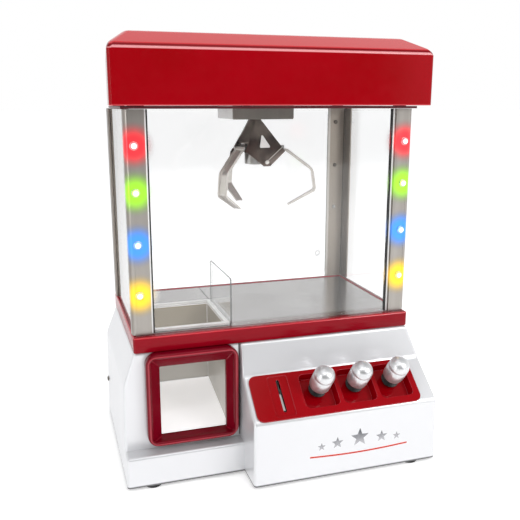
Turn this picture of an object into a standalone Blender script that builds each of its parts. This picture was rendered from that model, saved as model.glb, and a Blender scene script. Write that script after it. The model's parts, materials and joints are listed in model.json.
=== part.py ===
"""Toy claw crane machine: a tabletop cabinet with a three-finger claw on a moving gantry.

Lengths in this file are millimetres until finish() turns them into metres. Depth d is counted
backwards from the front plane of the cabinet posts, and z is counted up from the table.
"""

import math

import bmesh
import bpy
from mathutils import Matrix, Vector

MM = 0.001
GAP = 0.3

# Whole machine
CABINET_FRONT = -0.04695
BODY_BOTTOM = 2.8
HALF_WIDTH = 130.0
CREASE_HALF = 128.3
CABINET_HALF = 119.0
BODY_REAR = 141.4
CABINET_REAR = 134.0
WALL = 2.5

# Base body
PLINTH_TOP = 28.4
PLINTH_FRONT = -17.2
PANEL_FRONT = -3.2
CREASE = 84.0
DECK = 111.2
CONTROL_LEFT = -33.2
CONTROL_FRONT = -45.3
CONTROL_LIP = 57.0
CONTROL_REAR = -12.7
CONTROL_TOP = -6.2

# Control panel, in its own slanted frame
SLOPE = math.atan2(CREASE - CONTROL_LIP, CONTROL_REAR - CONTROL_FRONT)
SLOPE_LENGTH = math.hypot(CREASE - CONTROL_LIP, CONTROL_REAR - CONTROL_FRONT)
INSERT = (-29.8, 115.0, 0.8, 41.5)
INSERT_RISE = 1.4
COIN_X = -5.6
STICKS = {"left": 27.6, "middle": 61.15, "right": 94.7}
STICK_S = 25.0
WELL_S = 22.4
WELL_HALF = (15.2, 15.6)
WELL_DEPTH = 7.0
STICK_PIVOT = -13.0
KNOB_R = 8.8
KNOB_START = 5.0
KNOB_LENGTH = 23.0

# Cabinet
SILL_TOP = 124.1
SILL_FRONT = -5.9
FLOOR_TOP = 123.5
POST_TOP = 297.9
FRAME_TOP = 300.0
POST_INNER = 103.5
POST_DEPTH = 9.0
GUARD_TOP = 163.0
HOLE = (-101.0, -40.5, 9.0, 76.0)
DOOR = (-99.2, -44.5, 37.5, 97.5)
RAMP_REAR = 50.3
DOOR_FRAME = (-111.3, -35.8, 32.5, 111.0)
LED_HEIGHTS = {"red": 271.5, "green": 236.5, "blue": 196.5, "yellow": 156.5}
LED_X = 112.0
HINGE_X = -101.5
HINGE_D = 136.0
HINGE_HEIGHTS = (149.0, 273.0)
DOOR_KNOB_Z = 150

# Roof
ROOF_FRONT = -11.6
ROOF_REAR = 141.0
ROOF_REAR_HALF = 117.0
ROOF_BOTTOM = 300.3
FASCIA_TOP = 343.2
ROOF_TOP = 354.8

# Gantry
CLAW_D = 61.0
RAIL_X = 108.0
RAIL_Z = 322.0
RAIL_R = 2.5
ROD_Z = 309.0
ROD_D = (46.0, 78.0)
ROD_R = 2.0
BLOCK = (-26.6, 26.6, 35.0, 86.4)
BLOCK_BOTTOM = 289.2
BLOCK_TOP = 318.0
SPOOL_Z = 299.0
SPOOL_R = 5.0
MODULE = 1.2
TEETH = 10
PITCH_R = MODULE * TEETH / 2
X_RACK_D = 62.0
X_PINION_Z = 330.0
Y_PINION_X = -98.5
Y_PINION_Z = 318.0
Y_PINION_D = 106.0

# Claw
FINGER_ANGLES = {"right": -17.5, "rear": 102.5, "left": 222.5}
FINGER_PIVOT = (23.5, 264.5)
FINGER_WIDTH = 8.0
FINGER_THICK = 1.4
HOOD_APEX = 288.7

ROUND_SIDES = 24


def material(name, colour, roughness, metallic=0.0, alpha=1.0):
    """A Principled material, made once for each name."""
    found = bpy.data.materials.get(name)
    if found:
        return found
    made = bpy.data.materials.new(name)
    made.use_nodes = True
    shader = made.node_tree.nodes["Principled BSDF"]
    shader.inputs["Base Color"].default_value = (*colour, 1.0)
    shader.inputs["Roughness"].default_value = roughness
    shader.inputs["Metallic"].default_value = metallic
    shader.inputs["Alpha"].default_value = alpha
    made.diffuse_color = (*colour, alpha)
    return made


def red_gloss():
    return material("red_gloss", (0.35, 0.005, 0.01), 0.15)


def dark_red():
    return material("dark_red", (0.22, 0.008, 0.02), 0.3)


def silver_plastic():
    return material("silver_plastic", (0.8, 0.81, 0.83), 0.35, 0.3)


def post_metal():
    return material("post_metal", (0.42, 0.39, 0.36), 0.35, 0.8)


def steel():
    return material("steel", (0.6, 0.58, 0.56), 0.25, 1.0)


def black_plastic():
    return material("black_plastic", (0.02, 0.02, 0.02), 0.5)


def rubber():
    return material("rubber", (0.015, 0.015, 0.015), 0.8)


def clear():
    return material("clear_acrylic", (0.9, 0.93, 0.93), 0.05, 0.0, 0.25)


def white_plastic():
    return material("white_plastic", (0.75, 0.75, 0.72), 0.5)


def hood_metal():
    return material("hood_metal", (0.12, 0.1, 0.09), 0.3, 1.0)


def add_faces(bm, loops, closed):
    """Bridge loops of equal length; closed joins the last to the first, otherwise both ends are capped."""
    rings = [[bm.verts.new(point) for point in loop] for loop in loops]
    pairs = list(zip(rings, rings[1:]))
    if closed:
        pairs.append((rings[-1], rings[0]))
    for low, high in pairs:
        for i in range(len(low)):
            j = (i + 1) % len(low)
            bm.faces.new((low[i], low[j], high[j], high[i]))
    if not closed:
        bm.faces.new(rings[0])
        bm.faces.new(rings[-1])


def rectangle(x0, x1, d0, d1, z):
    return [(x0, d0, z), (x1, d0, z), (x1, d1, z), (x0, d1, z)]


def add_box(bm, x0, x1, d0, d1, z0, z1):
    add_faces(bm, [rectangle(x0, x1, d0, d1, z0), rectangle(x0, x1, d0, d1, z1)], False)


def add_levels(bm, levels):
    """A solid through level rectangles, each (z, x0, x1, d0, d1)."""
    add_faces(bm, [rectangle(x0, x1, d0, d1, z) for z, x0, x1, d0, d1 in levels], False)


def rounded(u0, u1, v0, v1, radius, steps=4):
    """Points of a rectangle with round corners, anticlockwise in its own plane."""
    points = []
    corners = ((u1, v1, 0), (u0, v1, 90), (u0, v0, 180), (u1, v0, 270))
    for u, v, start in corners:
        cu = u - math.copysign(radius, u - (u0 + u1) / 2)
        cv = v - math.copysign(radius, v - (v0 + v1) / 2)
        for i in range(steps + 1):
            angle = math.radians(start + 90 * i / steps)
            points.append((cu + radius * math.cos(angle), cv + radius * math.sin(angle)))
    return points


def add_rod(bm, start, end, radius, sides=ROUND_SIDES, end_radius=None):
    """A round bar between two points."""
    start, end = Vector(start), Vector(end)
    along = (end - start).normalized()
    side = along.orthogonal().normalized()
    other = along.cross(side)
    loops = []
    for centre, r in ((start, radius), (end, radius if end_radius is None else end_radius)):
        turns = [2 * math.pi * i / sides for i in range(sides)]
        loops.append([centre + r * (math.cos(t) * side + math.sin(t) * other) for t in turns])
    add_faces(bm, loops, False)


def add_turned(bm, profile, base, axis, sides=ROUND_SIDES):
    """A turned solid: profile is (radius, height) from the bottom up, along axis from base."""
    base, axis = Vector(base), Vector(axis).normalized()
    side = axis.orthogonal().normalized()
    other = axis.cross(side)
    loops = []
    for radius, height in profile:
        turns = [2 * math.pi * i / sides for i in range(sides)]
        centre = base + height * axis
        loops.append([centre + radius * (math.cos(t) * side + math.sin(t) * other) for t in turns])
    add_faces(bm, loops, False)


def add_prism(bm, outline, low, high, place):
    """Extrude a plane outline from low to high; place(u, v, w) turns it into a point."""
    add_faces(bm, [[place(u, v, w) for u, v in outline] for w in (low, high)], False)


def along_x(u, v, w):
    return (w, u, v)


def along_d(u, v, w):
    return (u, w, v)


def along_z(u, v, w):
    return (u, v, w)


def new_shape():
    return bmesh.new()


def finish(name, bm, surface, origin=(0, 0, 0), frame=None, bevel=0.0, segments=2, smooth=False):
    """Make the object, its origin at the given point, from a shape in millimetres."""
    if frame is not None:
        bmesh.ops.transform(bm, matrix=frame, verts=bm.verts)
    origin = Vector(origin)
    for vert in bm.verts:
        vert.co = (vert.co - origin) * MM
    bmesh.ops.recalc_face_normals(bm, faces=bm.faces)
    mesh = bpy.data.meshes.new(name)
    bm.to_mesh(mesh)
    bm.free()
    obj = bpy.data.objects.new(name, mesh)
    obj.location = origin * MM + Vector((0, CABINET_FRONT, 0))
    bpy.context.scene.collection.objects.link(obj)
    if surface is not None:
        mesh.materials.append(surface)
    if smooth:
        mesh.shade_smooth()
        mesh.set_sharp_from_angle(angle=math.radians(35))
    if bevel:
        add_bevel(obj, bevel, segments)
    return obj


def add_bevel(obj, width, segments=2):
    modifier = obj.modifiers.new("Round edges", "BEVEL")
    modifier.width = width * MM
    modifier.segments = segments
    modifier.limit_method = "ANGLE"
    modifier.angle_limit = math.radians(25)


def cutter(name, bm, frame=None):
    obj = finish(name, bm, None, frame=frame)
    obj.hide_render = True
    obj.display_type = "WIRE"
    return obj


def boolean(obj, other, operation="DIFFERENCE"):
    modifier = obj.modifiers.new(operation.title(), "BOOLEAN")
    modifier.object = other
    modifier.operation = operation
    modifier.solver = "EXACT"


def panel_frame():
    """The slanted control surface: local X across, Y up the slope from its front edge, Z out of it."""
    turn = Matrix.Rotation(SLOPE, 4, "X")
    return Matrix.Translation(Vector((0, CONTROL_FRONT, CONTROL_LIP))) @ turn


def side_x(z, inset=0.0):
    """Half-width of the base body at a height: slight draft, then the shoulder above the crease."""
    if z <= CREASE:
        half = HALF_WIDTH + (CREASE_HALF - HALF_WIDTH) * (z - BODY_BOTTOM) / (CREASE - BODY_BOTTOM)
    else:
        half = CREASE_HALF + (CABINET_HALF - CREASE_HALF) * (z - CREASE) / (DECK - CREASE)
    return half - inset


# Base

def base_zones(inset):
    """The three overlapping zones of the body, shrunk by the wall thickness for the hollow."""
    low = BODY_BOTTOM if not inset else BODY_BOTTOM - 5
    drop = inset * (1 / math.cos(SLOPE) - math.tan(SLOPE))
    body, plinth, control = new_shape(), new_shape(), new_shape()
    top = DECK - inset
    levels = []
    for z, rear in ((low, BODY_REAR), (CREASE - 0.3 * inset, BODY_REAR), (top, CABINET_REAR)):
        half = side_x(z, inset)
        levels.append((z, -half, half, PANEL_FRONT + inset, rear - inset))
    add_levels(body, levels)
    levels = []
    for z in (low, PLINTH_TOP - inset):
        levels.append((z, -side_x(z, inset), side_x(z, inset), PLINTH_FRONT + inset, 6))
    add_levels(plinth, levels)
    levels = []
    fronts = ((low, CONTROL_FRONT), (CONTROL_LIP - drop, CONTROL_FRONT))
    fronts += ((CREASE - drop, CONTROL_REAR), (top, CONTROL_TOP))
    for z, front in fronts:
        levels.append((z, CONTROL_LEFT + inset, side_x(z, inset), front + inset, 6))
    add_levels(control, levels)
    if not inset:
        for zone in (body, plinth, control):
            round_above(zone, 2.4, BODY_BOTTOM)
    return body, plinth, control


def round_above(bm, radius, foot, steps=3):
    """Round every edge of a convex block except those of its foot."""
    edges = [e for e in bm.edges if max(v.co.z for v in e.verts) > foot + GAP]
    bmesh.ops.bevel(bm, geom=edges, offset=radius, segments=steps, profile=0.5,
                    affect="EDGES", clamp_overlap=True)


def base_shell():
    body, plinth, control = base_zones(0)
    shell = finish("base_shell", body, silver_plastic(), smooth=True)
    boolean(shell, cutter("guide_plinth", plinth), "UNION")
    boolean(shell, cutter("guide_control", control), "UNION")
    body, plinth, control = base_zones(WALL)
    hollow = cutter("hollow_body", body)
    boolean(hollow, cutter("hollow_plinth", plinth), "UNION")
    boolean(hollow, cutter("hollow_control", control), "UNION")
    boolean(shell, hollow)
    openings = new_shape()
    x0, x1, z0, z1 = DOOR
    margin = 2.2
    add_prism(openings, rounded(x0 - margin, x1 + margin, z0 - margin, z1 + margin, 4), -8, 3, along_d)
    hx0, hx1, hd0, hd1 = HOLE
    add_box(openings, hx0 - 1, hx1 + 1, hd0 - 1, hd1 + 1, DECK - 8, DECK + 4)
    add_prism(openings, rounded(87.6, 104.4, 24, 36, 1.5), BODY_REAR - 8, BODY_REAR + 4, along_d)
    add_rod(openings, (70, BODY_REAR - 8, 30), (70, BODY_REAR + 4, 30), 5.3)
    for i in range(5):
        z = 48 + 5 * i
        add_box(openings, -84, -56, BODY_REAR - 8, BODY_REAR + 4, z, z + 2)
    boolean(shell, cutter("cut_body", openings))
    window = new_shape()
    ix0, ix1, s0, s1 = INSERT
    add_prism(window, rounded(ix0 + 3, ix1 - 3, s0 + 2.5, s1 - 1.8, 4), -12, 6, along_z)
    boolean(shell, cutter("cut_panel_window", window, panel_frame()))
    return shell


def base_plate():
    plate = new_shape()
    inset = WALL + GAP
    z0, z1 = BODY_BOTTOM, BODY_BOTTOM + 2.0
    x = side_x(z1, inset)
    front = PLINTH_FRONT + inset
    corner = CONTROL_LEFT + inset
    outline = [(-x, front), (corner, front), (corner, CONTROL_FRONT + inset)]
    outline += [(x, CONTROL_FRONT + inset), (x, BODY_REAR - inset), (-x, BODY_REAR - inset)]
    add_prism(plate, outline, z0, z1, along_z)
    obj = finish("base_plate", plate, black_plastic())
    bay = new_shape()
    add_box(bay, -46, 46, 50, 114, z0 - 3, z1 + 3)
    boolean(obj, cutter("cut_battery_bay", bay))
    box = new_shape()
    add_box(box, -50, 50, 46, 118, z1 - 0.5, 24)
    inner = new_shape()
    add_box(inner, -46, 46, 50, 114, -5, 22)
    boolean(obj, cutter("guide_battery_box", box), "UNION")
    boolean(obj, cutter("cut_battery_box", inner))
    return obj


def battery_door():
    door = new_shape()
    add_box(door, -46 + GAP, 46 - GAP, 50 + GAP, 114 - GAP, BODY_BOTTOM, BODY_BOTTOM + 1.8)
    obj = finish("battery_door", door, black_plastic(), origin=(0, 50 + GAP, BODY_BOTTOM))
    catch = new_shape()
    add_box(catch, -8, 8, 107, 109, BODY_BOTTOM + 1, BODY_BOTTOM + 9)
    boolean(obj, cutter("guide_door_catch", catch), "UNION")
    return obj


def rubber_feet():
    feet = {"foot_front_left": (-108.5, -9.6), "foot_front_right": (109, -37.2)}
    feet.update({"foot_rear_left": (-109, 128), "foot_rear_right": (109, 128)})
    for name, (x, d) in feet.items():
        foot = new_shape()
        add_turned(foot, [(6.6, 0), (7.4, 0.6), (7.4, 2.5)], (x, d, 0), (0, 0, 1), 20)
        finish(name, foot, rubber(), smooth=True)


def circuit_board():
    board = new_shape()
    add_box(board, 30, 100, 60, 105, 34, 35.6)
    obj = finish("circuit_board", board, material("board_green", (0.02, 0.12, 0.05), 0.4))
    chips = new_shape()
    for x, d, width in ((40, 70, 12), (62, 66, 8), (82, 84, 10), (44, 92, 8)):
        add_box(chips, x, x + width, d, d + width, 35, 39)
    boolean(obj, cutter("guide_chips", chips), "UNION")
    return obj


def speaker():
    cone = new_shape()
    profile = [(20, 0), (20, 3), (12, 8), (12, 13), (8, 14)]
    add_turned(cone, profile, (-70, BODY_REAR - WALL - GAP, 59), (0, -1, 0), 28)
    return finish("speaker", cone, black_plastic(), smooth=True)


def power_switch():
    rocker = new_shape()
    half = 7.4
    outline = [(-half, -4), (half, -4), (half, 2.2), (0, 0.6), (-half, -0.8)]

    def in_rear_wall(u, v, w):
        return (96 + u, BODY_REAR + v - 2.4, w)

    add_prism(rocker, outline, 25, 35, in_rear_wall)
    origin = (96, BODY_REAR - 4, 30)
    return finish("power_switch", rocker, black_plastic(), origin=origin)


def dc_jack():
    jack = new_shape()
    place = (70, BODY_REAR - 11, 30)
    add_turned(jack, [(5, 0), (5, 10.6)], place, (0, 1, 0), 20)
    obj = finish("dc_jack", jack, black_plastic(), smooth=True)
    hole = new_shape()
    add_rod(hole, (70, BODY_REAR - 9, 30), (70, BODY_REAR + 3, 30), 2.9, 16)
    boolean(obj, cutter("cut_jack", hole))
    return obj


# Controls

def control_panel():
    """Red insert with three sunken wells and the coin slot, in the slanted frame."""
    frame = panel_frame()
    x0, x1, s0, s1 = INSERT
    plate = new_shape()
    low, high = GAP, GAP + INSERT_RISE
    add_prism(plate, rounded(x0, x1, s0, s1, 6), low, high, along_z)
    obj = finish("control_panel", plate, red_gloss(), frame=frame, smooth=True)
    trays = new_shape()
    hollows = new_shape()
    holes = new_shape()
    wide, tall = WELL_HALF
    for x in STICKS.values():
        add_prism(trays, rounded(x - wide - 1.4, x + wide + 1.4, WELL_S - tall - 1.4,
                                 WELL_S + tall + 1.4, 5, 3), -WELL_DEPTH, low + 0.5, along_z)
        loops = []
        for w, shrink in ((1.4 - WELL_DEPTH, 1.8), (high + 1, 0)):
            edge = rounded(x - wide + shrink, x + wide - shrink, WELL_S - tall + shrink,
                           WELL_S + tall - shrink, 4, 3)
            loops.append([(u, v, w) for u, v in edge])
        add_faces(hollows, loops, False)
        add_rod(holes, (x, STICK_S, -WELL_DEPTH - 2), (x, STICK_S, 3), 5.5, 20)
    add_prism(holes, rounded(COIN_X - 1.4, COIN_X + 1.4, 7, 36, 1.3, 2), -9, 6, along_z)
    band = new_shape()
    add_prism(band, rounded(COIN_X - 8.5, COIN_X + 8.5, s0 + 2.4, s1 - 2.4, 2, 2), high - 0.7,
              high + 1, along_z)
    boolean(obj, cutter("guide_wells", trays, frame), "UNION")
    boolean(obj, cutter("cut_wells", hollows, frame))
    boolean(obj, cutter("cut_band", band, frame))
    boolean(obj, cutter("cut_holes", holes, frame))
    return obj


def joystick_bracket():
    """Carrier under the panel: pillars to each well and bored cheeks for each stick's cross pin."""
    frame = panel_frame()
    bracket = new_shape()
    add_box(bracket, 14, 110, STICK_S - 13, STICK_S + 13, -24, -22)
    obj = finish("joystick_bracket", bracket, black_plastic(), frame=frame)
    cheeks = new_shape()
    bores = new_shape()
    for name, x in STICKS.items():
        for side in (-1, 1):
            add_rod(cheeks, (x - 11 * side, STICK_S + 10.5 * side, -22.5),
                    (x - 11 * side, STICK_S + 10.5 * side, -WELL_DEPTH - GAP), 2.2, 12)
            centre = Vector((x, STICK_S, 0)) + 8.2 * side * pin_direction(name)
            half = Vector((4, 4, 0)) - 2.8 * pin_direction(name)
            add_box(cheeks, centre.x - half.x, centre.x + half.x, centre.y - half.y,
                    centre.y + half.y, -22.5, STICK_PIVOT + 3)
        centre = Vector((x, STICK_S, STICK_PIVOT))
        across = pin_direction(name)
        add_rod(bores, centre - 11 * across, centre + 11 * across, 1.5 + GAP, 12)
    boolean(obj, cutter("guide_cheeks", cheeks, frame), "UNION")
    boolean(obj, cutter("cut_cheek_bores", bores, frame))
    return obj


def pin_direction(name):
    """The left stick rocks sideways, so its pin runs up the slope; the others rock along it."""
    return Vector((0, 1, 0)) if name == "left" else Vector((1, 0, 0))


def joystick(name, x):
    """Lever with its cross pin, dust disc and chrome knob; the pin is the joint's axis."""
    frame = panel_frame()
    pivot = frame @ Vector((x, STICK_S, STICK_PIVOT))
    across = pin_direction(name)
    centre = Vector((x, STICK_S, STICK_PIVOT))
    lever = new_shape()
    top = KNOB_START + 3
    add_turned(lever, [(2, -6), (2, -3), (3.4, -2.6), (3.4, 2.6), (2, 3), (2, top - STICK_PIVOT)],
               centre, (0, 0, 1), 16)
    obj = finish("lever_" + name, lever, steel(), pivot, frame, smooth=True)
    pin = new_shape()
    add_rod(pin, centre - 9.2 * across, centre + 9.2 * across, 1.5, 12)
    disc = new_shape()
    add_turned(disc, [(7.6, 10.4), (7.6, 11.2), (3.2, 13.0)], centre, (0, 0, 1), 20)
    boolean(obj, cutter("guide_pin_" + name, pin, frame), "UNION")
    boolean(obj, cutter("guide_disc_" + name, disc, frame), "UNION")
    return obj, pivot


def knob_profile():
    """Straight satin barrel with a domed top and a small chamfer at the foot."""
    dome = 7.0
    profile = [(KNOB_R - 1.2, 0), (KNOB_R, 1.0), (KNOB_R, KNOB_LENGTH - dome)]
    for i in range(1, 6):
        angle = math.radians(90 * i / 6)
        profile.append((KNOB_R * math.cos(angle), KNOB_LENGTH - dome + dome * math.sin(angle)))
    profile.append((KNOB_R * 0.08, KNOB_LENGTH))
    return profile


def knob(name, x, pivot):
    frame = panel_frame()
    barrel = new_shape()
    add_turned(barrel, knob_profile(), (x, STICK_S, KNOB_START), (0, 0, 1))
    obj = finish("knob_" + name, barrel, steel(), pivot, frame, smooth=True)
    bore = new_shape()
    add_rod(bore, (x, STICK_S, KNOB_START - 3), (x, STICK_S, KNOB_START + 3 + GAP), 2 + GAP, 16)
    boolean(obj, cutter("cut_knob_" + name, bore, frame))
    return obj


def coin_lever():
    """Sprung trip behind the slot: a coin pushes it down as it drops past."""
    frame = panel_frame()
    pivot = Vector((COIN_X, 38, -12))
    arm = new_shape()
    outline = [(36.8, -13), (38.8, -13.4), (39.6, -11.6), (38, -10.4), (24, -1.2), (9, -0.4)]
    outline += [(8, -1.8), (22, -4.6)]
    add_prism(arm, outline, COIN_X - 0.9, COIN_X + 0.9, along_x)
    obj = finish("coin_lever", arm, steel(), frame @ pivot, frame)
    pin = new_shape()
    add_rod(pin, pivot - Vector((3.8, 0, 0)), pivot + Vector((3.8, 0, 0)), 0.8, 12)
    boolean(obj, cutter("guide_coin_pin", pin, frame), "UNION")
    return obj


def coin_guide():
    """Channel under the slot, bored for the pin of the trip lever."""
    frame = panel_frame()
    guide = new_shape()
    half, wall = 2.6, 1.4
    outline = [(-half - wall, -9.6), (-half - wall, -30), (half + wall, -30), (half + wall, -9.6)]
    outline += [(half, -9.6), (half, -28.6), (-half, -28.6), (-half, -9.6)]

    def up_slope(u, v, w):
        return (COIN_X + u, w, v)

    add_prism(guide, outline, 6, 41, up_slope)
    obj = finish("coin_guide", guide, white_plastic(), frame=frame)
    bore = new_shape()
    add_rod(bore, (COIN_X - 8, 38, -12), (COIN_X + 8, 38, -12), 0.8 + GAP, 12)
    boolean(obj, cutter("cut_coin_bore", bore, frame))
    return obj


# Cabinet

def window_sill():
    sill = new_shape()
    half = CABINET_HALF + 0.35
    z0, z1 = DECK + GAP, SILL_TOP
    add_box(sill, -half, half, SILL_FRONT, CABINET_REAR + 0.6, z0, z1)
    obj = finish("window_sill", sill, red_gloss(), bevel=1.2, segments=2)
    inner = new_shape()
    add_box(inner, -114.8, 114.8, 2.8, 130.3, z0 - 3, z1 + 3)
    boolean(obj, cutter("cut_sill", inner))
    return obj


def floor_tray():
    tray = new_shape()
    z0, z1 = DECK + GAP, FLOOR_TOP
    add_box(tray, -114.5, 114.5, 3.1, 130, z0, z1)
    obj = finish("floor_tray", tray, post_metal())
    under = new_shape()
    add_box(under, -113, 113, 4.6, 128.5, z0 - 3, z1 - 1.5)
    hole = new_shape()
    x0, x1, d0, d1 = HOLE
    add_box(hole, x0, x1, d0, d1, z0 - 3, z1 + 3)
    boolean(obj, cutter("cut_tray", under))
    boolean(obj, cutter("cut_tray_hole", hole))
    return obj


def chute_rim():
    rim = new_shape()
    x0, x1, d0, d1 = HOLE
    z0, z1 = FLOOR_TOP + GAP, FLOOR_TOP + 2.6
    outer = rounded(x0 - 2, x1 + 2, d0 - 2, d1 + 2, 1.5, 2)
    inner = rounded(x0 + 1.5, x1 - 1.5, d0 + 1.5, d1 - 1.5, 1, 2)
    loops = [[(u, v, z) for u, v in edge] for edge, z in
             ((outer, z0), (outer, z1), (inner, z1), (inner, z0))]
    add_faces(rim, loops, True)
    return finish("chute_rim", rim, steel())


def prize_chute():
    """Sheet-metal duct from the playfield hole down a ramp to the prize door."""
    x0, x1, d0, d1 = HOLE
    duct = new_shape()
    wall = 1.2
    side = [(d0 + GAP, FLOOR_TOP - 0.4), (d0 + GAP, DOOR[3] + 4), (3.0, DOOR[3] + 2),
            (3.0, DOOR[2] - 2), (d1 - GAP, RAMP_REAR), (d1 - GAP, FLOOR_TOP - 0.4)]
    add_prism(duct, side, x0 + GAP, x1 - GAP, along_x)
    obj = finish("prize_chute", duct, post_metal())
    hollow = new_shape()
    inside = [(d0 + wall + GAP, FLOOR_TOP + 3), (d0 + wall + GAP, DOOR[3] + 3), (0, DOOR[3] + 0.8),
              (0, DOOR[2] - 2 + 2 * wall), (3.0, DOOR[2] - 2 + wall), (d1 - wall - GAP, RAMP_REAR + wall),
              (d1 - wall - GAP, FLOOR_TOP + 3)]
    add_prism(hollow, inside, x0 + GAP + wall, x1 - GAP - wall, along_x)
    boolean(obj, cutter("cut_duct", hollow))
    return obj


def chute_guard():
    guard = new_shape()
    x = HOLE[1] + 2.3
    d0, d1 = 6.0, HOLE[3] + 2
    z0 = FLOOR_TOP + GAP
    outline = rounded(d0, d1, z0, GUARD_TOP, 2.5, 3)
    add_prism(guard, outline, x, x + 1.6, along_x)
    return finish("chute_guard", guard, clear())


def prize_door_frame():
    """Deep bevelled surround, its inner lip running back through the front panel."""
    ox0, ox1, oz0, oz1 = DOOR_FRAME
    x0, x1, z0, z1 = DOOR
    back, face, deep = PANEL_FRONT - GAP, -12.0, 1.6
    lip = 1.6

    def edge(grow, radius, outer=False):
        if outer:
            return rounded(ox0 - grow, ox1 + grow, oz0 - grow, oz1 + grow, radius, 5)
        return rounded(x0 - grow, x1 + grow, z0 - grow, z1 + grow, radius, 5)

    steps = [(edge(0, 11, True), back), (edge(0, 11, True), face + 1.8)]
    steps += [(edge(-0.6, 10.4, True), face + 0.6), (edge(-1.8, 9.5, True), face)]
    steps += [(edge(-3.4, 8.2, True), face), (edge(-4.4, 7.4, True), face + 0.8)]
    steps += [(edge(0, 1.0), deep - 3), (edge(0, 1.0), deep)]
    steps += [(edge(lip, 2.4), deep), (edge(lip, 2.4), back)]
    frame = new_shape()
    add_faces(frame, [[(u, d, v) for u, v in points] for points, d in steps], True)
    return finish("prize_door_frame", frame, dark_red(), smooth=True)


def front_post(side):
    """Closed box section with a round outer corner; its face carries the lights."""
    post = new_shape()
    inner, outer = POST_INNER, CABINET_HALF
    radius = 4.0
    arc = []
    for i in range(5):
        angle = math.radians(90 * i / 4)
        arc.append((outer - radius + radius * math.cos(angle), radius - radius * math.sin(angle)))
    outline = [(inner, 0.0), (inner, POST_DEPTH), (outer, POST_DEPTH)] + arc
    outline = [(side * u, v) for u, v in outline]
    add_prism(post, outline, SILL_TOP + GAP, POST_TOP, along_z)
    name = "post_front_left" if side < 0 else "post_front_right"
    obj = finish(name, post, post_metal(), smooth=True)
    hollow = new_shape()
    x0, x1 = sorted((side * (inner + 1.5), side * (outer - 1.5)))
    add_box(hollow, x0, x1, 1.6, POST_DEPTH - 1.5, SILL_TOP - 3, POST_TOP + 3)
    holes = new_shape()
    for z in LED_HEIGHTS.values():
        add_rod(holes, (side * LED_X, -3, z), (side * LED_X, 5.0, z), 2.8, 16)
    boolean(obj, cutter("hollow_" + name, hollow))
    boolean(obj, cutter("cut_" + name, holes))
    return obj


def rear_post(side):
    """Angle section: a face flange with screws and a side flange."""
    post = new_shape()
    outer, rear = CABINET_HALF, 133.0
    outline = [(99, rear - 1.6), (outer - 1.6, rear - 1.6), (outer - 1.6, 119), (outer, 119)]
    outline += [(outer, rear), (99, rear)]
    outline = [(side * u, v) for u, v in outline]
    add_prism(post, outline, SILL_TOP + GAP, POST_TOP, along_z)
    if side > 0:
        return finish("post_rear_right", post, post_metal())
    obj = finish("post_rear_left", post, post_metal())
    ears, bore = new_shape(), new_shape()
    for z in HINGE_HEIGHTS:
        for low in (z - 10.6, z + 6.6):
            add_box(ears, HINGE_X - 4, HINGE_X + 2.3, rear - 0.6, HINGE_D + 2.2, low, low + 4)
    add_rod(bore, (HINGE_X, HINGE_D, 130), (HINGE_X, HINGE_D, 290), 1.0 + GAP, 12)
    boolean(obj, cutter("guide_hinge_ears", ears), "UNION")
    boolean(obj, cutter("cut_hinge_ears", bore))
    return obj


def led_strip(side):
    """Narrow board inside the front post with a domed lens behind each hole of its face."""
    name = "led_strip_left" if side < 0 else "led_strip_right"
    strip = new_shape()
    centre = side * LED_X
    low, high = min(LED_HEIGHTS.values()) - 8, max(LED_HEIGHTS.values()) + 8
    add_box(strip, centre - 3.6, centre + 3.6, 4.6, 5.8, low, high)
    obj = finish(name, strip, white_plastic(), smooth=True)
    profile = [(2.4, 0), (2.4, 5.0)]
    for i in range(1, 5):
        angle = math.radians(90 * i / 5)
        profile.append((2.4 * math.cos(angle), 5.0 + 2.2 * math.sin(angle)))
    for colour, z in LED_HEIGHTS.items():
        lens = new_shape()
        add_turned(lens, profile, (centre, 5.2, z), (0, -1, 0), 14)
        boolean(obj, cutter(f"guide_{name}_{colour}", lens), "UNION")
    return obj


def windows():
    z0, z1 = SILL_TOP + GAP, POST_TOP
    front = new_shape()
    add_box(front, -POST_INNER + GAP, POST_INNER - GAP, 3.4, 5.0, z0, z1)
    finish("window_front", front, clear())
    for side, name in ((-1, "window_left"), (1, "window_right")):
        pane = new_shape()
        x0, x1 = sorted((side * 115.4, side * 117.0))
        add_box(pane, x0, x1, POST_DEPTH + GAP, 131.0, z0, z1)
        finish(name, pane, clear())


def rear_door():
    """Clear loading door behind the playfield, hinged on the left of the back."""
    z0, z1 = SILL_TOP + 3, POST_TOP - 3
    pane = new_shape()
    add_prism(pane, rounded(-98.4, 98.4, z0, z1, 5, 3), 131.0, 132.8, along_d)
    obj = finish("rear_door", pane, clear(), origin=(HINGE_X, HINGE_D, (z0 + z1) / 2))
    barrels, bores = new_shape(), new_shape()
    for i, z in enumerate(HINGE_HEIGHTS):
        strap = new_shape()
        outline = [(-98.3, 132.4), (-84, 132.4), (-84, 135.4), (-98, 137), (HINGE_X, 137.4)]
        outline += [(HINGE_X, 134.6), (-98.3, 134.4)]
        add_prism(strap, outline, z - 6, z + 6, along_z)
        boolean(obj, cutter(f"guide_strap_{i}", strap), "UNION")
        add_rod(barrels, (HINGE_X, HINGE_D, z - 6), (HINGE_X, HINGE_D, z + 6), 2.4, 16)
    add_rod(bores, (HINGE_X, HINGE_D, 130), (HINGE_X, HINGE_D, 290), 1.0 + GAP, 12)
    add_rod(bores, (90, 128, DOOR_KNOB_Z), (90, 138, DOOR_KNOB_Z), 2.2, 16)
    boolean(obj, cutter("guide_barrels", barrels), "UNION")
    boolean(obj, cutter("cut_door", bores))
    return obj


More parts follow.
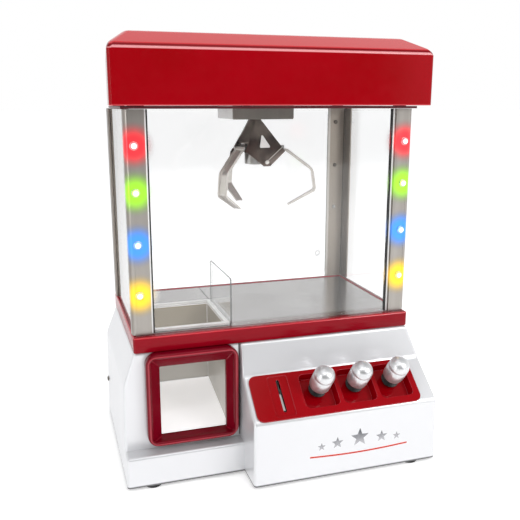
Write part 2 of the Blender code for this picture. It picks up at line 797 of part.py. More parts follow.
def rear_hinge_pin():
    """One long wire through the door barrels and the ears of the left rear post."""
    pin = new_shape()
    low, high = HINGE_HEIGHTS[0] - 12, HINGE_HEIGHTS[1] + 12
    add_rod(pin, (HINGE_X, HINGE_D, low), (HINGE_X, HINGE_D, high), 1.0, 12)
    return finish("rear_hinge_pin", pin, steel(), smooth=True)


def rear_door_knob():
    """Pull knob on the free edge of the loading door, its stem through the pane."""
    knob_shape = new_shape()
    profile = [(3.6, 0), (3.6, 1.0), (1.8, 1.0), (1.8, 3.6), (4.2, 4.4), (5.0, 6.4), (4.4, 8.0), (2, 8.6)]
    add_turned(knob_shape, profile, (90, 129.6, DOOR_KNOB_Z), (0, 1, 0), 20)
    return finish("rear_door_knob", knob_shape, clear(), smooth=True)


# Roof and gantry

def top_frame():
    """Plate on the posts, with uprights that hold the side rails and the drive rack."""
    plate = new_shape()
    loops = []
    for z in (POST_TOP + GAP, FRAME_TOP):
        loops.append([(-121, -2, z), (121, -2, z), (116.5, 136, z), (-116.5, 136, z)])
    add_faces(plate, loops, False)
    obj = finish("top_frame", plate, black_plastic())
    inner = new_shape()
    add_prism(inner, rounded(-98, 98, 12, 126, 4, 3), POST_TOP - 3, FRAME_TOP + 3, along_z)
    boolean(obj, cutter("cut_frame", inner))
    uprights = new_shape()
    for x in (-RAIL_X, RAIL_X):
        for d in (4, 130):
            add_box(uprights, x - 5, x + 5, d - 2, d + 2, FRAME_TOP - 1, RAIL_Z + 5)
    bores = new_shape()
    for x in (-RAIL_X, RAIL_X):
        add_rod(bores, (x, -4, RAIL_Z), (x, 138, RAIL_Z), RAIL_R + 0.05, 20)
    boolean(obj, cutter("guide_uprights", uprights), "UNION")
    boolean(obj, y_rack(), "UNION")
    boolean(obj, cutter("cut_uprights", bores))
    return obj


def side_rails():
    for side, name in ((-1, "side_rail_left"), (1, "side_rail_right")):
        rail = new_shape()
        x = side * RAIL_X
        add_rod(rail, (x, 2.2, RAIL_Z), (x, 131.8, RAIL_Z), RAIL_R - 0.25, 20)
        finish(name, rail, steel(), smooth=True)


def bridge_frame():
    """End blocks on the side rails, a beam with the long rack, and the depth-drive motor's mount."""
    bridge = new_shape()
    top = X_PINION_Z + 12.2
    add_box(bridge, -106, 106, X_RACK_D - 3, X_RACK_D + 3, top - 3, top)
    obj = finish("bridge_frame", bridge, black_plastic(), origin=(0, CLAW_D, RAIL_Z))
    for side, name in ((-1, "left"), (1, "right")):
        block = new_shape()
        x0, x1 = sorted((side * 104, side * 114.5))
        add_box(block, x0, x1, 40, 84, ROD_Z - 6, top)
        boolean(obj, cutter("guide_block_" + name, block), "UNION")
    mount = new_shape()
    outline = [(-105, 80), (-92.5, 80), (-92.5, 116), (-94.4, 116), (-94.4, 84), (-105, 84)]
    add_prism(mount, outline, Y_PINION_Z - 4.4, Y_PINION_Z + 9, along_z)
    boolean(obj, cutter("guide_motor_mount", mount), "UNION")
    boolean(obj, x_rack(), "UNION")
    bores = new_shape()
    for x in (-RAIL_X, RAIL_X):
        add_rod(bores, (x, 30, RAIL_Z), (x, 95, RAIL_Z), RAIL_R + 0.1, 20)
    for d in ROD_D:
        add_rod(bores, (-112.4, d, ROD_Z), (112.4, d, ROD_Z), ROD_R + GAP, 16)
    add_rod(bores, (-98, Y_PINION_D, Y_PINION_Z), (-88, Y_PINION_D, Y_PINION_Z), 3.3, 16)
    boolean(obj, cutter("cut_bridge_bores", bores))
    return obj


def bridge_rods():
    for d, name in zip(ROD_D, ("bridge_rod_front", "bridge_rod_rear")):
        rod = new_shape()
        add_rod(rod, (-112, d, ROD_Z), (112, d, ROD_Z), ROD_R, 16)
        finish(name, rod, steel(), smooth=True)


def rack_outline(length, low):
    """Side view of a rack: (along, height) with teeth at height 0 and its back at low."""
    pitch = math.pi * MODULE
    count = int(length / pitch / 2)
    tip, root, half = 0.5 * MODULE, -0.9 * MODULE, pitch * 0.25
    points = []
    for i in range(-count, count + 1):
        middle = i * pitch
        points += [(middle - half * 1.05, root), (middle - half * 0.45, tip)]
        points += [(middle + half * 0.45, tip), (middle + half * 1.05, root)]
    return [(points[0][0], low)] + points + [(points[-1][0], low)]


def x_rack():
    """Teeth under the bridge beam, facing down to the carriage pinion."""
    rack = new_shape()
    outline = [(u, X_PINION_Z + PITCH_R - v) for u, v in rack_outline(150, -3.6)]
    add_prism(rack, outline, X_RACK_D - 3, X_RACK_D + 3, along_d)
    return cutter("guide_x_rack", rack)


def y_rack():
    """Teeth along the depth on the top frame, facing up to the bridge pinion."""
    rack = new_shape()
    low = FRAME_TOP - 0.5 - (Y_PINION_Z - PITCH_R)
    outline = [(Y_PINION_D + u, Y_PINION_Z - PITCH_R + v) for u, v in rack_outline(30, low)]
    add_prism(rack, outline, Y_PINION_X - 3.5, Y_PINION_X + 3.5, along_x)
    return cutter("guide_y_rack", rack)


def pinion(name, centre, axis):
    """Ten-tooth gear, a gap of its teeth centred on the rack's tooth at rest."""
    gear = new_shape()
    tip, root = PITCH_R + 0.5 * MODULE, PITCH_R - 0.95 * MODULE
    step = 2 * math.pi / TEETH
    outline = []
    for i in range(TEETH):
        middle = step * (i + 0.5) + math.pi / 2
        for offset, radius in ((-0.24, root), (-0.09, tip), (0.09, tip), (0.24, root)):
            angle = middle + offset * step
            outline.append((radius * math.cos(angle), radius * math.sin(angle)))
    cx, cd, cz = centre

    def facing_d(u, v, w):
        return (cx + u, cd + w, cz + v)

    def facing_x(u, v, w):
        return (cx + w, cd + u, cz - v)

    add_prism(gear, outline, -2.5, 2.5, facing_d if axis == "d" else facing_x)
    return finish(name, gear, white_plastic(), origin=centre)


def motor(name, centre, axis, radius=8.0, back=12.0):
    """Small can motor: case, boss and a short shaft pointing along axis."""
    case = new_shape()
    profile = [(radius - 0.5, -back), (radius, 0.6 - back), (radius, 9)]
    profile += [(3, 9), (3, 10.4), (1.2, 10.4), (1.2, 12.5)]
    add_turned(case, profile, centre, axis, 20)
    return finish(name, case, steel(), smooth=True)


def carriage_housing():
    """Box under the bridge rods; the cord leaves through the hole in its floor."""
    x0, x1, d0, d1 = BLOCK
    case = new_shape()
    add_box(case, x0, x1, d0, d1, BLOCK_BOTTOM, BLOCK_TOP)
    obj = finish("carriage_housing", case, post_metal(), bevel=0.8, segments=1,
                 origin=(0, CLAW_D, ROD_Z))
    hollow = new_shape()
    add_box(hollow, x0 + 2, x1 - 2, d0 + 2, d1 - 2, BLOCK_BOTTOM + 2, BLOCK_TOP + 3)
    notch = new_shape()
    add_box(notch, x0 + 8, x0 + 17, d0 - 3, d0 + 5, BLOCK_TOP - 19, BLOCK_TOP - 12)
    bores = new_shape()
    for d in ROD_D:
        add_rod(bores, (x0 - 5, d, ROD_Z), (x1 + 5, d, ROD_Z), ROD_R + 0.4, 16)
    add_rod(bores, (0, CLAW_D, BLOCK_BOTTOM - 4), (0, CLAW_D, BLOCK_BOTTOM + 5), 3.2, 16)
    boolean(obj, cutter("cut_carriage", hollow))
    boolean(obj, cutter("cut_carriage_notch", notch))
    boolean(obj, cutter("cut_carriage_bores", bores))
    return obj


def carriage_cover():
    """Lid of the carriage, with the bracket of the cross-drive motor."""
    x0, x1, d0, d1 = BLOCK
    lid = new_shape()
    add_box(lid, x0, x1, d0, d1, BLOCK_TOP + GAP, BLOCK_TOP + 2)
    obj = finish("carriage_cover", lid, black_plastic(), origin=(0, CLAW_D, ROD_Z))
    upright = new_shape()
    add_box(upright, -10, 10, 55.9, 57.4, BLOCK_TOP + 1, X_PINION_Z + 8)
    hole = new_shape()
    add_rod(hole, (0, 52, X_PINION_Z), (0, 60, X_PINION_Z), 3.3, 16)
    boolean(obj, cutter("guide_motor_upright", upright), "UNION")
    boolean(obj, cutter("cut_motor_upright", hole))
    return obj


def hoist_spool():
    spool = new_shape()
    profile = [(7.5, -5), (7.5, -4), (SPOOL_R, -3.6), (SPOOL_R, 3.6), (7.5, 4), (7.5, 5)]
    add_turned(spool, profile, (SPOOL_R, CLAW_D, SPOOL_Z), (0, 1, 0), 20)
    return finish("hoist_spool", spool, white_plastic(), (SPOOL_R, CLAW_D, SPOOL_Z), smooth=True)


def hoist_cord():
    cord = new_shape()
    add_rod(cord, (-0.8, CLAW_D, HOOD_APEX + 0.2), (-0.8, CLAW_D, SPOOL_Z), 0.5, 8)
    return finish("hoist_cord", cord, black_plastic(), smooth=True)


# Claw

def claw_point(radius, angle, z):
    turn = math.radians(angle)
    return (radius * math.cos(turn), CLAW_D + radius * math.sin(turn), z)


def claw_hood():
    """Folded three-sided cap: kite faces from the apex, with a finger corner at each edge."""
    hood = new_shape()

    def ring(scale, rise):
        points = []
        for i in range(3):
            corner = FINGER_ANGLES["right"] + 120 * i
            for turn, radius, z in ((-17, 27.5, 262), (17, 27.5, 262), (52, 22.5, 250.5), (68, 22.5, 250.5)):
                points.append(claw_point(radius * scale, corner + turn, z + rise))
        return points

    def small(radius, z):
        points = []
        for i in range(3):
            corner = FINGER_ANGLES["right"] + 120 * i
            for turn in (-17, 17, 52, 68):
                points.append(claw_point(radius, corner + turn, z))
        return points

    outer = [ring(1.0, 0), small(5.5, HOOD_APEX)]
    inner = [small(3.0, HOOD_APEX), small(3.4, HOOD_APEX - 3.2), ring(0.94, -0.6)]
    add_faces(hood, outer + inner, True)
    obj = finish("claw_hood", hood, hood_metal(), origin=(0, CLAW_D, HOOD_APEX))
    slots = new_shape()
    for angle in FINGER_ANGLES.values():
        a = math.radians(angle)
        along = Vector((math.cos(a), math.sin(a), 0))
        across = Vector((-math.sin(a), math.cos(a), 0))
        base = Vector((0, CLAW_D, 0))
        loops = []
        for z in (240.0, 270.5):
            low, high = 18.0, 40.0
            half = FINGER_WIDTH / 2 + 1.5
            level = base + Vector((0, 0, z))
            loops.append([level + low * along - half * across, level + high * along - half * across,
                          level + high * along + half * across, level + low * along + half * across])
        add_faces(slots, loops, False)
    boolean(obj, cutter("cut_hood_slots", slots))
    return obj


def claw_hub():
    """Plunger body inside the hood: a collar with three forked lugs that carry the finger pins."""
    hub = new_shape()
    profile = [(4, 250), (9, 251), (9, 272), (2.6, 279), (2.6, HOOD_APEX - 0.1)]
    add_turned(hub, [(r, z - 250) for r, z in profile], (0, CLAW_D, 250), (0, 0, 1), 20)
    obj = finish("claw_hub", hub, steel(), origin=(0, CLAW_D, 262), smooth=True)
    radius, height = FINGER_PIVOT
    for name, angle in FINGER_ANGLES.items():
        lug = new_shape()
        a = math.radians(angle)
        along = Vector((math.cos(a), math.sin(a), 0))
        across = Vector((-math.sin(a), math.cos(a), 0))
        base = Vector((0, CLAW_D, height))
        for side in (-1, 1):
            loops = []
            for reach in (4.0, radius + 2.0):
                near = FINGER_WIDTH / 2 + 0.4
                far = near + 0.7
                centre = base + reach * along
                loops.append([centre + side * near * across - Vector((0, 0, 2.2)),
                              centre + side * far * across - Vector((0, 0, 2.2)),
                              centre + side * far * across + Vector((0, 0, 2.2)),
                              centre + side * near * across + Vector((0, 0, 2.2))])
            add_faces(lug, loops, False)
        boolean(obj, cutter("guide_lug_" + name, lug), "UNION")
        pin = base + radius * along
        rivet = new_shape()
        add_rod(rivet, pin - 5.15 * across, pin + 5.15 * across, 0.9, 12)
        boolean(obj, cutter("guide_rivet_" + name, rivet), "UNION")
    return obj


def finger_outline():
    """Side view (radius, height) of a bent strip: knuckle, long arm, drop and inward tip."""
    centre = [(25.2, 263.4), (28.5, 261.3), (49.5, 245.6), (52.0, 228.5), (29.0, 215.0)]
    left, right = [], []
    half = FINGER_THICK / 2
    for i, (r, z) in enumerate(centre):
        before = Vector(centre[max(i - 1, 0)])
        after = Vector(centre[min(i + 1, len(centre) - 1)])
        along = (after - before).normalized()
        normal = Vector((-along.y, along.x))
        left.append((r + half * normal.x, z + half * normal.y))
        right.append((r - half * normal.x, z - half * normal.y))
    return left + right[::-1]


def claw_finger(name, angle):
    a = math.radians(angle)
    along = Vector((math.cos(a), math.sin(a), 0))
    across = Vector((-math.sin(a), math.cos(a), 0))
    base = Vector((0, CLAW_D, 0))
    strip = new_shape()
    half = FINGER_WIDTH / 2
    outline = finger_outline()
    loops = []
    for w in (-half, half):
        loops.append([base + r * along + w * across + Vector((0, 0, z)) for r, z in outline])
    add_faces(strip, loops, False)
    pivot = claw_point(FINGER_PIVOT[0], angle, FINGER_PIVOT[1])
    obj = finish("finger_" + name, strip, steel(), origin=pivot)
    knuckle, bore = new_shape(), new_shape()
    pin = Vector(pivot)
    add_rod(knuckle, pin - half * across, pin + half * across, 2.2, 14)
    add_rod(bore, pin - 6 * across, pin + 6 * across, 0.9 + GAP, 12)
    boolean(obj, cutter("guide_knuckle_" + name, knuckle), "UNION")
    boolean(obj, cutter("cut_finger_" + name, bore))
    return obj


def roof_cover():
    """Hollow roof: upright fascia, hipped top, walls drawing in towards the back."""

    def loop(z, inset, front, rear, half_front, half_rear):
        return [(-half_front + inset, front + inset, z), (half_front - inset, front + inset, z),
                (half_rear - inset, rear - inset, z), (-half_rear + inset, rear - inset, z)]

    def zones(inset, bottom):
        flat = (ROOF_FRONT, ROOF_REAR, HALF_WIDTH, ROOF_REAR_HALF)
        top = (18, 118, 118, 108)
        return [loop(bottom, inset, *flat), loop(FASCIA_TOP - 0.4 * inset, inset, *flat),
                loop(ROOF_TOP - inset, inset, *top)]

    shell = new_shape()
    add_faces(shell, zones(0, ROOF_BOTTOM), False)
    obj = finish("roof_cover", shell, red_gloss(), bevel=3.5, segments=3, smooth=True)
    hollow = new_shape()
    add_faces(hollow, zones(WALL, ROOF_BOTTOM - 6), False)
    boolean(obj, cutter("cut_roof", hollow))
    bosses = new_shape()
    for x, d in ((-84, 4), (84, 4), (-84, 131), (84, 131)):
        add_rod(bosses, (x, d, ROOF_BOTTOM + 0.2), (x, d, FASCIA_TOP + 2.4), 4, 12)
    boolean(obj, cutter("guide_bosses", bosses), "UNION")
    return obj


def control_group():
    control_panel()
    joystick_bracket()
    for name, x in STICKS.items():
        lever, pivot = joystick(name, x)
        knob(name, x, pivot)
    coin_lever()
    coin_guide()


def base_group():
    base_shell()
    base_plate()
    battery_door()
    rubber_feet()
    circuit_board()
    speaker()
    power_switch()
    dc_jack()


def cabinet_group():
    window_sill()
    floor_tray()
    chute_rim()
    prize_chute()
    chute_guard()
    prize_door_frame()
    for side in (-1, 1):
        front_post(side)
        rear_post(side)
        led_strip(side)
    windows()
    rear_door()
    rear_hinge_pin()
    rear_door_knob()


def gantry_group():
    top_frame()
    side_rails()
    bridge_frame()
    bridge_rods()
    pinion("x_pinion", (0, X_RACK_D, X_PINION_Z), "d")
    pinion("y_pinion", (Y_PINION_X, Y_PINION_D, Y_PINION_Z), "x")
    motor("x_motor", (0, X_RACK_D - 15.3, X_PINION_Z), (0, 1, 0))
    motor("y_motor", (Y_PINION_X + 15.3, Y_PINION_D, Y_PINION_Z), (-1, 0, 0))
    motor("hoist_motor", (SPOOL_R, CLAW_D - 17.8, SPOOL_Z), (0, 1, 0), 6.5, 6.0)
    carriage_housing()
    carriage_cover()
    hoist_spool()
    hoist_cord()
    roof_cover()


def claw_group():
    claw_hood()
    claw_hub()
    for name, angle in FINGER_ANGLES.items():
        claw_finger(name, angle)


def main():
    for old in list(bpy.data.objects):
        bpy.data.objects.remove(old, do_unlink=True)
    base_group()
    control_group()
    cabinet_group()
    gantry_group()
    claw_group()


main()
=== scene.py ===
"""Looks of the toy claw crane machine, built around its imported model.

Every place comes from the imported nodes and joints. Lengths are in metres.
"""
import json
import math

import bmesh
import bpy
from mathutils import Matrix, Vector


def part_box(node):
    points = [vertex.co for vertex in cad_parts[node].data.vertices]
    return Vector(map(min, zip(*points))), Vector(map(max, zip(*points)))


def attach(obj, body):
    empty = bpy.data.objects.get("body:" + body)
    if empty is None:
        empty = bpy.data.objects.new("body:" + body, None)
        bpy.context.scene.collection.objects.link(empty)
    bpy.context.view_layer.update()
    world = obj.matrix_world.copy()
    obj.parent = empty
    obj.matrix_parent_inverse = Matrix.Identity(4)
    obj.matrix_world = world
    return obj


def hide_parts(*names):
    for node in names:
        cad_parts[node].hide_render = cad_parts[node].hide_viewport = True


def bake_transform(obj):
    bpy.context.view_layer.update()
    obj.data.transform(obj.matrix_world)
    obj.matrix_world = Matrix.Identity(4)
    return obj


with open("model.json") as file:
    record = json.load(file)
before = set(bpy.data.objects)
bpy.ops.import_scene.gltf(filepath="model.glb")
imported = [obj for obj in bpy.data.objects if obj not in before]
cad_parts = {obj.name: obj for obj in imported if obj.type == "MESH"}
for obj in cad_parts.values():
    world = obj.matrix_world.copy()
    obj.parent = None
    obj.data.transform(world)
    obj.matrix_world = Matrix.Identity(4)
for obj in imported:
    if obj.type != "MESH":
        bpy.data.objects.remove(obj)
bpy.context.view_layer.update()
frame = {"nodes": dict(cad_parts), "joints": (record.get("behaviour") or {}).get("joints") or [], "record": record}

NODES = frame["nodes"]
JOINTS = {joint["name"]: joint for joint in frame["joints"]}
BODY_OF = {node: body for body, nodes in frame["record"]["behaviour"]["bodies"].items() for node in nodes}
MM = 0.001
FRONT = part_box("post_front_left")[0].y
RAMP_TOP = 51.9
BRIGHT_SHEET = ((0.8, 0.8, 0.79), (0.9, 0.9, 0.89))
LED_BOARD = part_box("led_strip_right")
LED_X = (LED_BOARD[0].x + LED_BOARD[1].x) / 2
LED_FACE = FRONT - 0.001
LED_LOWEST = LED_BOARD[0].z + 8 * MM
LEDS = {"red": (115, (0.95, 0.02, 0.035)), "green": (80, (0.32, 0.75, 0.02)),
        "blue": (40, (0.03, 0.25, 0.85)), "yellow": (0, (0.9, 0.55, 0.01))}
LED_HEIGHTS = {name: LED_LOWEST + rise * MM for name, (rise, colour) in LEDS.items()}


# ---------------------------------------------------------------- stage

def build_camera():
    """Camera beside the left edge of the machine, level with the underside of the roof."""
    camera = bpy.data.cameras.new("camera")
    camera.lens = 46.84
    camera.sensor_width = 36.0
    obj = bpy.data.objects.new("camera", camera)
    obj.location = (-0.1749, FRONT - 0.5094, 0.3017)
    obj.rotation_euler = (math.radians(77.01), 0, math.radians(-17.49))
    bpy.context.scene.collection.objects.link(obj)
    bpy.context.scene.camera = obj


def build_light(name, place, target, size, power, colour=(1, 1, 1)):
    light = bpy.data.lights.new(name, "AREA")
    light.shape = "RECTANGLE"
    light.size, light.size_y = size
    light.energy = power
    light.color = colour
    obj = bpy.data.objects.new(name, light)
    obj.location = place
    aim = Vector(target) - Vector(place)
    obj.rotation_euler = aim.to_track_quat("-Z", "Y").to_euler()
    bpy.context.scene.collection.objects.link(obj)


def build_world():
    """Bright surround, dimmer overhead."""
    world = bpy.data.worlds.new("surround")
    bpy.context.scene.world = world
    world.use_nodes = True
    nodes, links = world.node_tree.nodes, world.node_tree.links
    split = nodes.new("ShaderNodeSeparateXYZ")
    links.new(nodes.new("ShaderNodeTexCoord").outputs["Generated"], split.inputs["Vector"])
    ramp = nodes.new("ShaderNodeValToRGB")
    ramp.color_ramp.elements[0].position = 0.3
    ramp.color_ramp.elements[0].color = (1, 1, 1, 1)
    ramp.color_ramp.elements[1].color = (0.35, 0.355, 0.365, 1)
    links.new(split.outputs["Z"], ramp.inputs["Fac"])
    links.new(ramp.outputs["Color"], nodes["Background"].inputs["Color"])
    nodes["Background"].inputs["Strength"].default_value = 1.0


def build_flag():
    """Dark card behind the camera: it keeps the surround out of the polished front faces."""
    outline = ((-1.9, -1.9), (1.5, -2.6), (1.5, -2.62), (-1.9, -1.92))
    flag = lofted("stage_flag", [[Vector((x, y, z)) for x, y in outline] for z in (0.02, 1.6)], smooth=False)
    flag.data.materials.append(moulded("flag_grey", (0.12, 0.12, 0.12), 0.9))
    flag.visible_camera = False
    flag.visible_diffuse = False
    flag.visible_shadow = False


def build_stage():
    """Wide pale floor, a dark card behind the camera, and soft studio lights from the front right."""
    bm = bmesh.new()
    bmesh.ops.create_circle(bm, cap_ends=True, segments=64, radius=30.0)
    floor = mesh_object("stage_floor", bm)
    floor.data.materials.append(stage_paper())
    build_flag()
    build_light("key", (1.0, -1.2, 0.9), (0, 0, 0.15), (0.6, 0.6), 9)
    build_light("fill", (-1.2, -0.9, 0.5), (0, 0, 0.15), (0.4, 1.0), 3)
    build_light("top", (-0.1, -0.2, 1.6), (0, 0, 0.1), (1.2, 1.0), 3)
    build_light("strip", (0.1, -0.75, 1.15), (0, 0, 0.25), (1.5, 0.12), 3)
    scene = bpy.context.scene
    scene.view_settings.view_transform = "Standard"
    scene.view_settings.look = "None"


# ---------------------------------------------------------------- materials

class Paint:
    """A Principled material with short helpers for its procedural detail."""

    def __init__(self, name, colour, roughness, metallic=0.0, **settings):
        self.material = bpy.data.materials.new(name)
        self.material.use_nodes = True
        self.tree = self.material.node_tree
        self.shader = self.tree.nodes["Principled BSDF"]
        self.shader.inputs["Base Color"].default_value = (*colour, 1)
        self.shader.inputs["Roughness"].default_value = roughness
        self.shader.inputs["Metallic"].default_value = metallic
        for socket, value in settings.items():
            self.shader.inputs[socket.replace("_", " ")].default_value = value
        self.place = self.tree.nodes.new("ShaderNodeTexCoord").outputs["Object"]

    def node(self, kind, inputs=None, **values):
        """A node with its settings; each input is linked to a socket or set to a value."""
        made = self.tree.nodes.new("ShaderNode" + kind)
        for key, value in values.items():
            setattr(made, key, value)
        for socket, value in (inputs or {}).items():
            if isinstance(value, bpy.types.NodeSocket):
                self.link(value, made.inputs[socket])
            else:
                made.inputs[socket].default_value = value
        return made

    def link(self, source, target):
        self.tree.links.new(source, target)

    def stretched(self, scale):
        """Object coordinates scaled per axis, for streaks and brushing."""
        return self.node("Mapping", {"Scale": scale, "Vector": self.place}).outputs["Vector"]

    def noise(self, scale, detail=4.0, roughness=0.5, vector=None):
        inputs = {"Scale": scale, "Detail": detail, "Roughness": roughness, "Vector": vector or self.place}
        return self.node("TexNoise", inputs).outputs["Fac"]

    def range(self, value, low, high, to_low=0.0, to_high=1.0):
        inputs = {"Value": value, "From Min": low, "From Max": high, "To Min": to_low, "To Max": to_high}
        return self.node("MapRange", inputs).outputs["Result"]

    def mix(self, factor, *colours):
        first, second = [(*colour, 1) if isinstance(colour, tuple) else colour for colour in colours]
        inputs = {"Factor": factor, 6: first, 7: second}
        return self.node("Mix", inputs, data_type="RGBA").outputs[2]

    def math(self, operation, *values):
        return self.node("Math", dict(enumerate(values)), operation=operation).outputs[0]

    def vector_math(self, operation, inputs, output="Vector"):
        return self.node("VectorMath", inputs, operation=operation).outputs[output]

    def split(self, vector):
        return self.node("SeparateXYZ", {"Vector": vector}).outputs

    def turned_away(self):
        return self.node("LayerWeight", {"Blend": 0.5}).outputs["Facing"]

    def height(self):
        return self.split(self.place)[2]

    def facing(self, axis):
        """One component of the surface's normal."""
        return self.split(self.node("NewGeometry").outputs["Normal"])["xyz".index(axis)]

    def cloud(self, scale, detail, low, high, grain=0.5, vector=None):
        """Noise spread so that it runs from 0 at low to 1 at high."""
        return self.range(self.noise(scale, detail, grain, vector), low, high)

    def led_light(self, reach):
        """Colour and amount of LED light at each point, fading to nothing at reach millimetres."""
        x, y, z = self.split(self.place)
        across = self.math("ABSOLUTE", x)
        mirrored = self.node("CombineXYZ", {"X": across, "Y": y, "Z": z}).outputs["Vector"]
        light, amount = (0, 0, 0), 0
        for name, (rise, colour) in LEDS.items():
            centre = (LED_X, LED_FACE, LED_HEIGHTS[name])
            away = self.vector_math("DISTANCE", {0: mirrored, 1: centre}, "Value")
            inputs = {"Value": away, "From Min": reach * MM, "From Max": 0.3 * reach * MM}
            near = self.node("MapRange", inputs, interpolation_type="SMOOTHSTEP").outputs["Result"]
            tinted = self.vector_math("SCALE", {0: colour, "Scale": near})
            light = self.vector_math("ADD", {0: light, 1: tinted})
            amount = self.math("ADD", amount, near)
        return light, amount

    def colour(self, source):
        self.link(source, self.shader.inputs["Base Color"])

    def roughness(self, source):
        self.link(source, self.shader.inputs["Roughness"])

    def polish(self, scale, detail, low, high):
        """Roughness that wanders between two values."""
        self.roughness(self.range(self.noise(scale, detail), 0.3, 0.7, low, high))

    def bump(self, height, strength, distance):
        inputs = {"Strength": strength, "Distance": distance, "Height": height}
        self.link(self.node("Bump", inputs).outputs["Normal"], self.shader.inputs["Normal"])


MADE = {}


def kept(make):
    """Make each painted material once and share it."""
    def wrapped(*args):
        key = (make.__name__, args)
        if key not in MADE:
            MADE[key] = make(*args).material
        return MADE[key]
    return wrapped


@kept
def clouded(name, dark, light, metallic, specular, cloud, polish, stretch=None):
    """Surface clouded between two tones, with an uneven polish; stretch makes a grain of the clouds."""
    middle = tuple((a + b) / 2 for a, b in zip(dark, light))
    paint = Paint(name, middle, polish[2], metallic, Specular_IOR_Level=specular)
    vector = paint.stretched(stretch) if stretch else None
    paint.colour(paint.mix(paint.cloud(*cloud, vector=vector), dark, light))
    paint.polish(*polish)
    return paint


@kept
def stage_paper():
    pale, paler = (0.91, 0.91, 0.91), (0.93, 0.93, 0.93)
    paint = Paint("stage_paper", paler, 0.9, Emission_Color=(1, 1, 1, 1), Emission_Strength=0.42)
    paint.colour(paint.mix(paint.cloud(3.0, 4, 0.3, 0.7), paler, pale))
    return paint


def handled(paint):
    """Finish a polished red moulding: fine handling marks over a faintly uneven surface."""
    marks = paint.noise(120, 3, 0.6, paint.stretched((1, 0.15, 1)))
    paint.roughness(paint.range(marks, 0.3, 0.7, 0.1, 0.17))
    paint.bump(paint.noise(45, 2), 0.03, 0.0003)
    return paint


@kept
def red_gloss():
    """Polished red moulding with faint flow clouds."""
    paint = Paint("red_gloss", (0.27, 0.0, 0.003), 0.14, Specular_IOR_Level=0.15)
    paint.colour(paint.mix(paint.cloud(14, 4, 0.35, 0.65), (0.255, 0.0, 0.002), (0.295, 0.0, 0.004)))
    return handled(paint)


@kept
def roof_red():
    """Roof moulding: a painted reflection lightens its slopes, and painted highlights run pale along its shoulder
    and its bottom edge, with a line of painted shade above the shoulder.
    """
    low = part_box("roof_cover")[0].z
    paint = Paint("roof_red", (0.25, 0.0, 0.003), 0.14, Specular_IOR_Level=0.15)
    side = paint.mix(paint.cloud(14, 4, 0.35, 0.65), (0.235, 0.0, 0.002), (0.27, 0.0, 0.004))
    # Painted highlight: a pale line along the bottom edge.
    rim = paint.range(paint.height(), low + 1.1 * MM, low + 0.5 * MM, 0.0, 0.8)
    side = paint.mix(rim, side, (0.5, 0.07, 0.08))
    up = paint.facing("z")
    # Painted highlight: a pale band on the rounded shoulder where the fascia turns up.
    shoulder = paint.mix(paint.range(up, 0.06, 0.16), side, (0.6, 0.24, 0.25))
    # Painted shade: a dark line between the shoulder highlight and the slope.
    shoulder = paint.mix(paint.range(up, 0.36, 0.5), shoulder, (0.17, 0.0, 0.004))
    # Painted reflection: the slopes of the top are painted a lighter red.
    paint.colour(paint.mix(paint.range(up, 0.68, 0.8), shoulder, (0.55, 0.03, 0.035)))
    return handled(paint)


def painted_highlight_red(name, colour):
    """Red with a painted highlight: a rounded edge painted brighter than the faces beside it."""
    # Painted highlight: lighter than the given red.
    lighter = tuple(1.15 * c for c in colour)
    return clouded(name, colour, lighter, 0, 0.6, (22, 3, 0.35, 0.65), (90, 3, 0.13, 0.19))


def dark_red():
    """Deeper red of the prize door surround, with a softer polish."""
    return clouded("dark_red", (0.135, 0.001, 0.007), (0.16, 0.001, 0.009), 0, 0.17,
                   (22, 3, 0.35, 0.65), (90, 3, 0.17, 0.24))


def sill_red():
    """Red of the window sill, a little cooler than the roof."""
    return clouded("sill_red", (0.215, 0.001, 0.007), (0.25, 0.001, 0.009), 0, 0.14,
                   (12, 3, 0.35, 0.65), (90, 3, 0.15, 0.22))


@kept
def silver_plastic():
    """Glossy silver-white lacquer, slightly clouded, with a near-black band of painted shade just above the bottom
    edge.
    """
    metallic = 0.42
    paint = Paint("silver_plastic", (0.66, 0.665, 0.68), 0.29, metallic)
    base = paint.mix(paint.cloud(9, 3, 0.3, 0.7), (0.655, 0.66, 0.677), (0.67, 0.675, 0.69))
    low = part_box("base_shell")[0].z
    # Painted shade: a near-black band just above the bottom edge, where the metallic sheen is also taken away.
    shade_line_low, shade_line_high = low + 1.0 * MM, low + 1.7 * MM
    height = paint.height()
    paint.colour(paint.mix(paint.range(height, shade_line_low, shade_line_high, 0.9, 0.0), base, (0.05, 0.05, 0.052)))
    paint.link(paint.range(height, shade_line_low, shade_line_high, 0.0, metallic), paint.shader.inputs["Metallic"])
    paint.polish(40, 3, 0.28, 0.3)
    return paint


@kept
def post_metal():
    """Silver-grey metallic paint drawn along the posts, lit by the LEDs near them."""
    paint = Paint("post_metal", (0.4, 0.37, 0.34), 0.32, 0.85, Emission_Strength=0.55)
    streak = paint.noise(260, 2, 0.5, paint.stretched((1, 1, 0.02)))
    band = paint.noise(90, 2, 0.5, paint.stretched((1, 1, 0.01)))
    tone = paint.math("MULTIPLY_ADD", band, 0.7, paint.math("MULTIPLY", streak, 0.3))
    metal = paint.mix(paint.range(tone, 0.3, 0.7), (0.32, 0.298, 0.275), (0.39, 0.368, 0.34))
    # Painted shade: faces turned to either side are painted darker.
    flank = paint.range(paint.math("ABSOLUTE", paint.facing("x")), 0.4, 0.95, 0.0, 0.75)
    metal = paint.mix(flank, metal, (0.2, 0.175, 0.155))
    light, amount = paint.led_light(19)
    paint.colour(paint.mix(paint.math("MULTIPLY", amount, 0.85), metal, light))
    paint.link(light, paint.shader.inputs["Emission Color"])
    paint.roughness(paint.range(streak, 0.3, 0.7, 0.29, 0.36))
    return paint


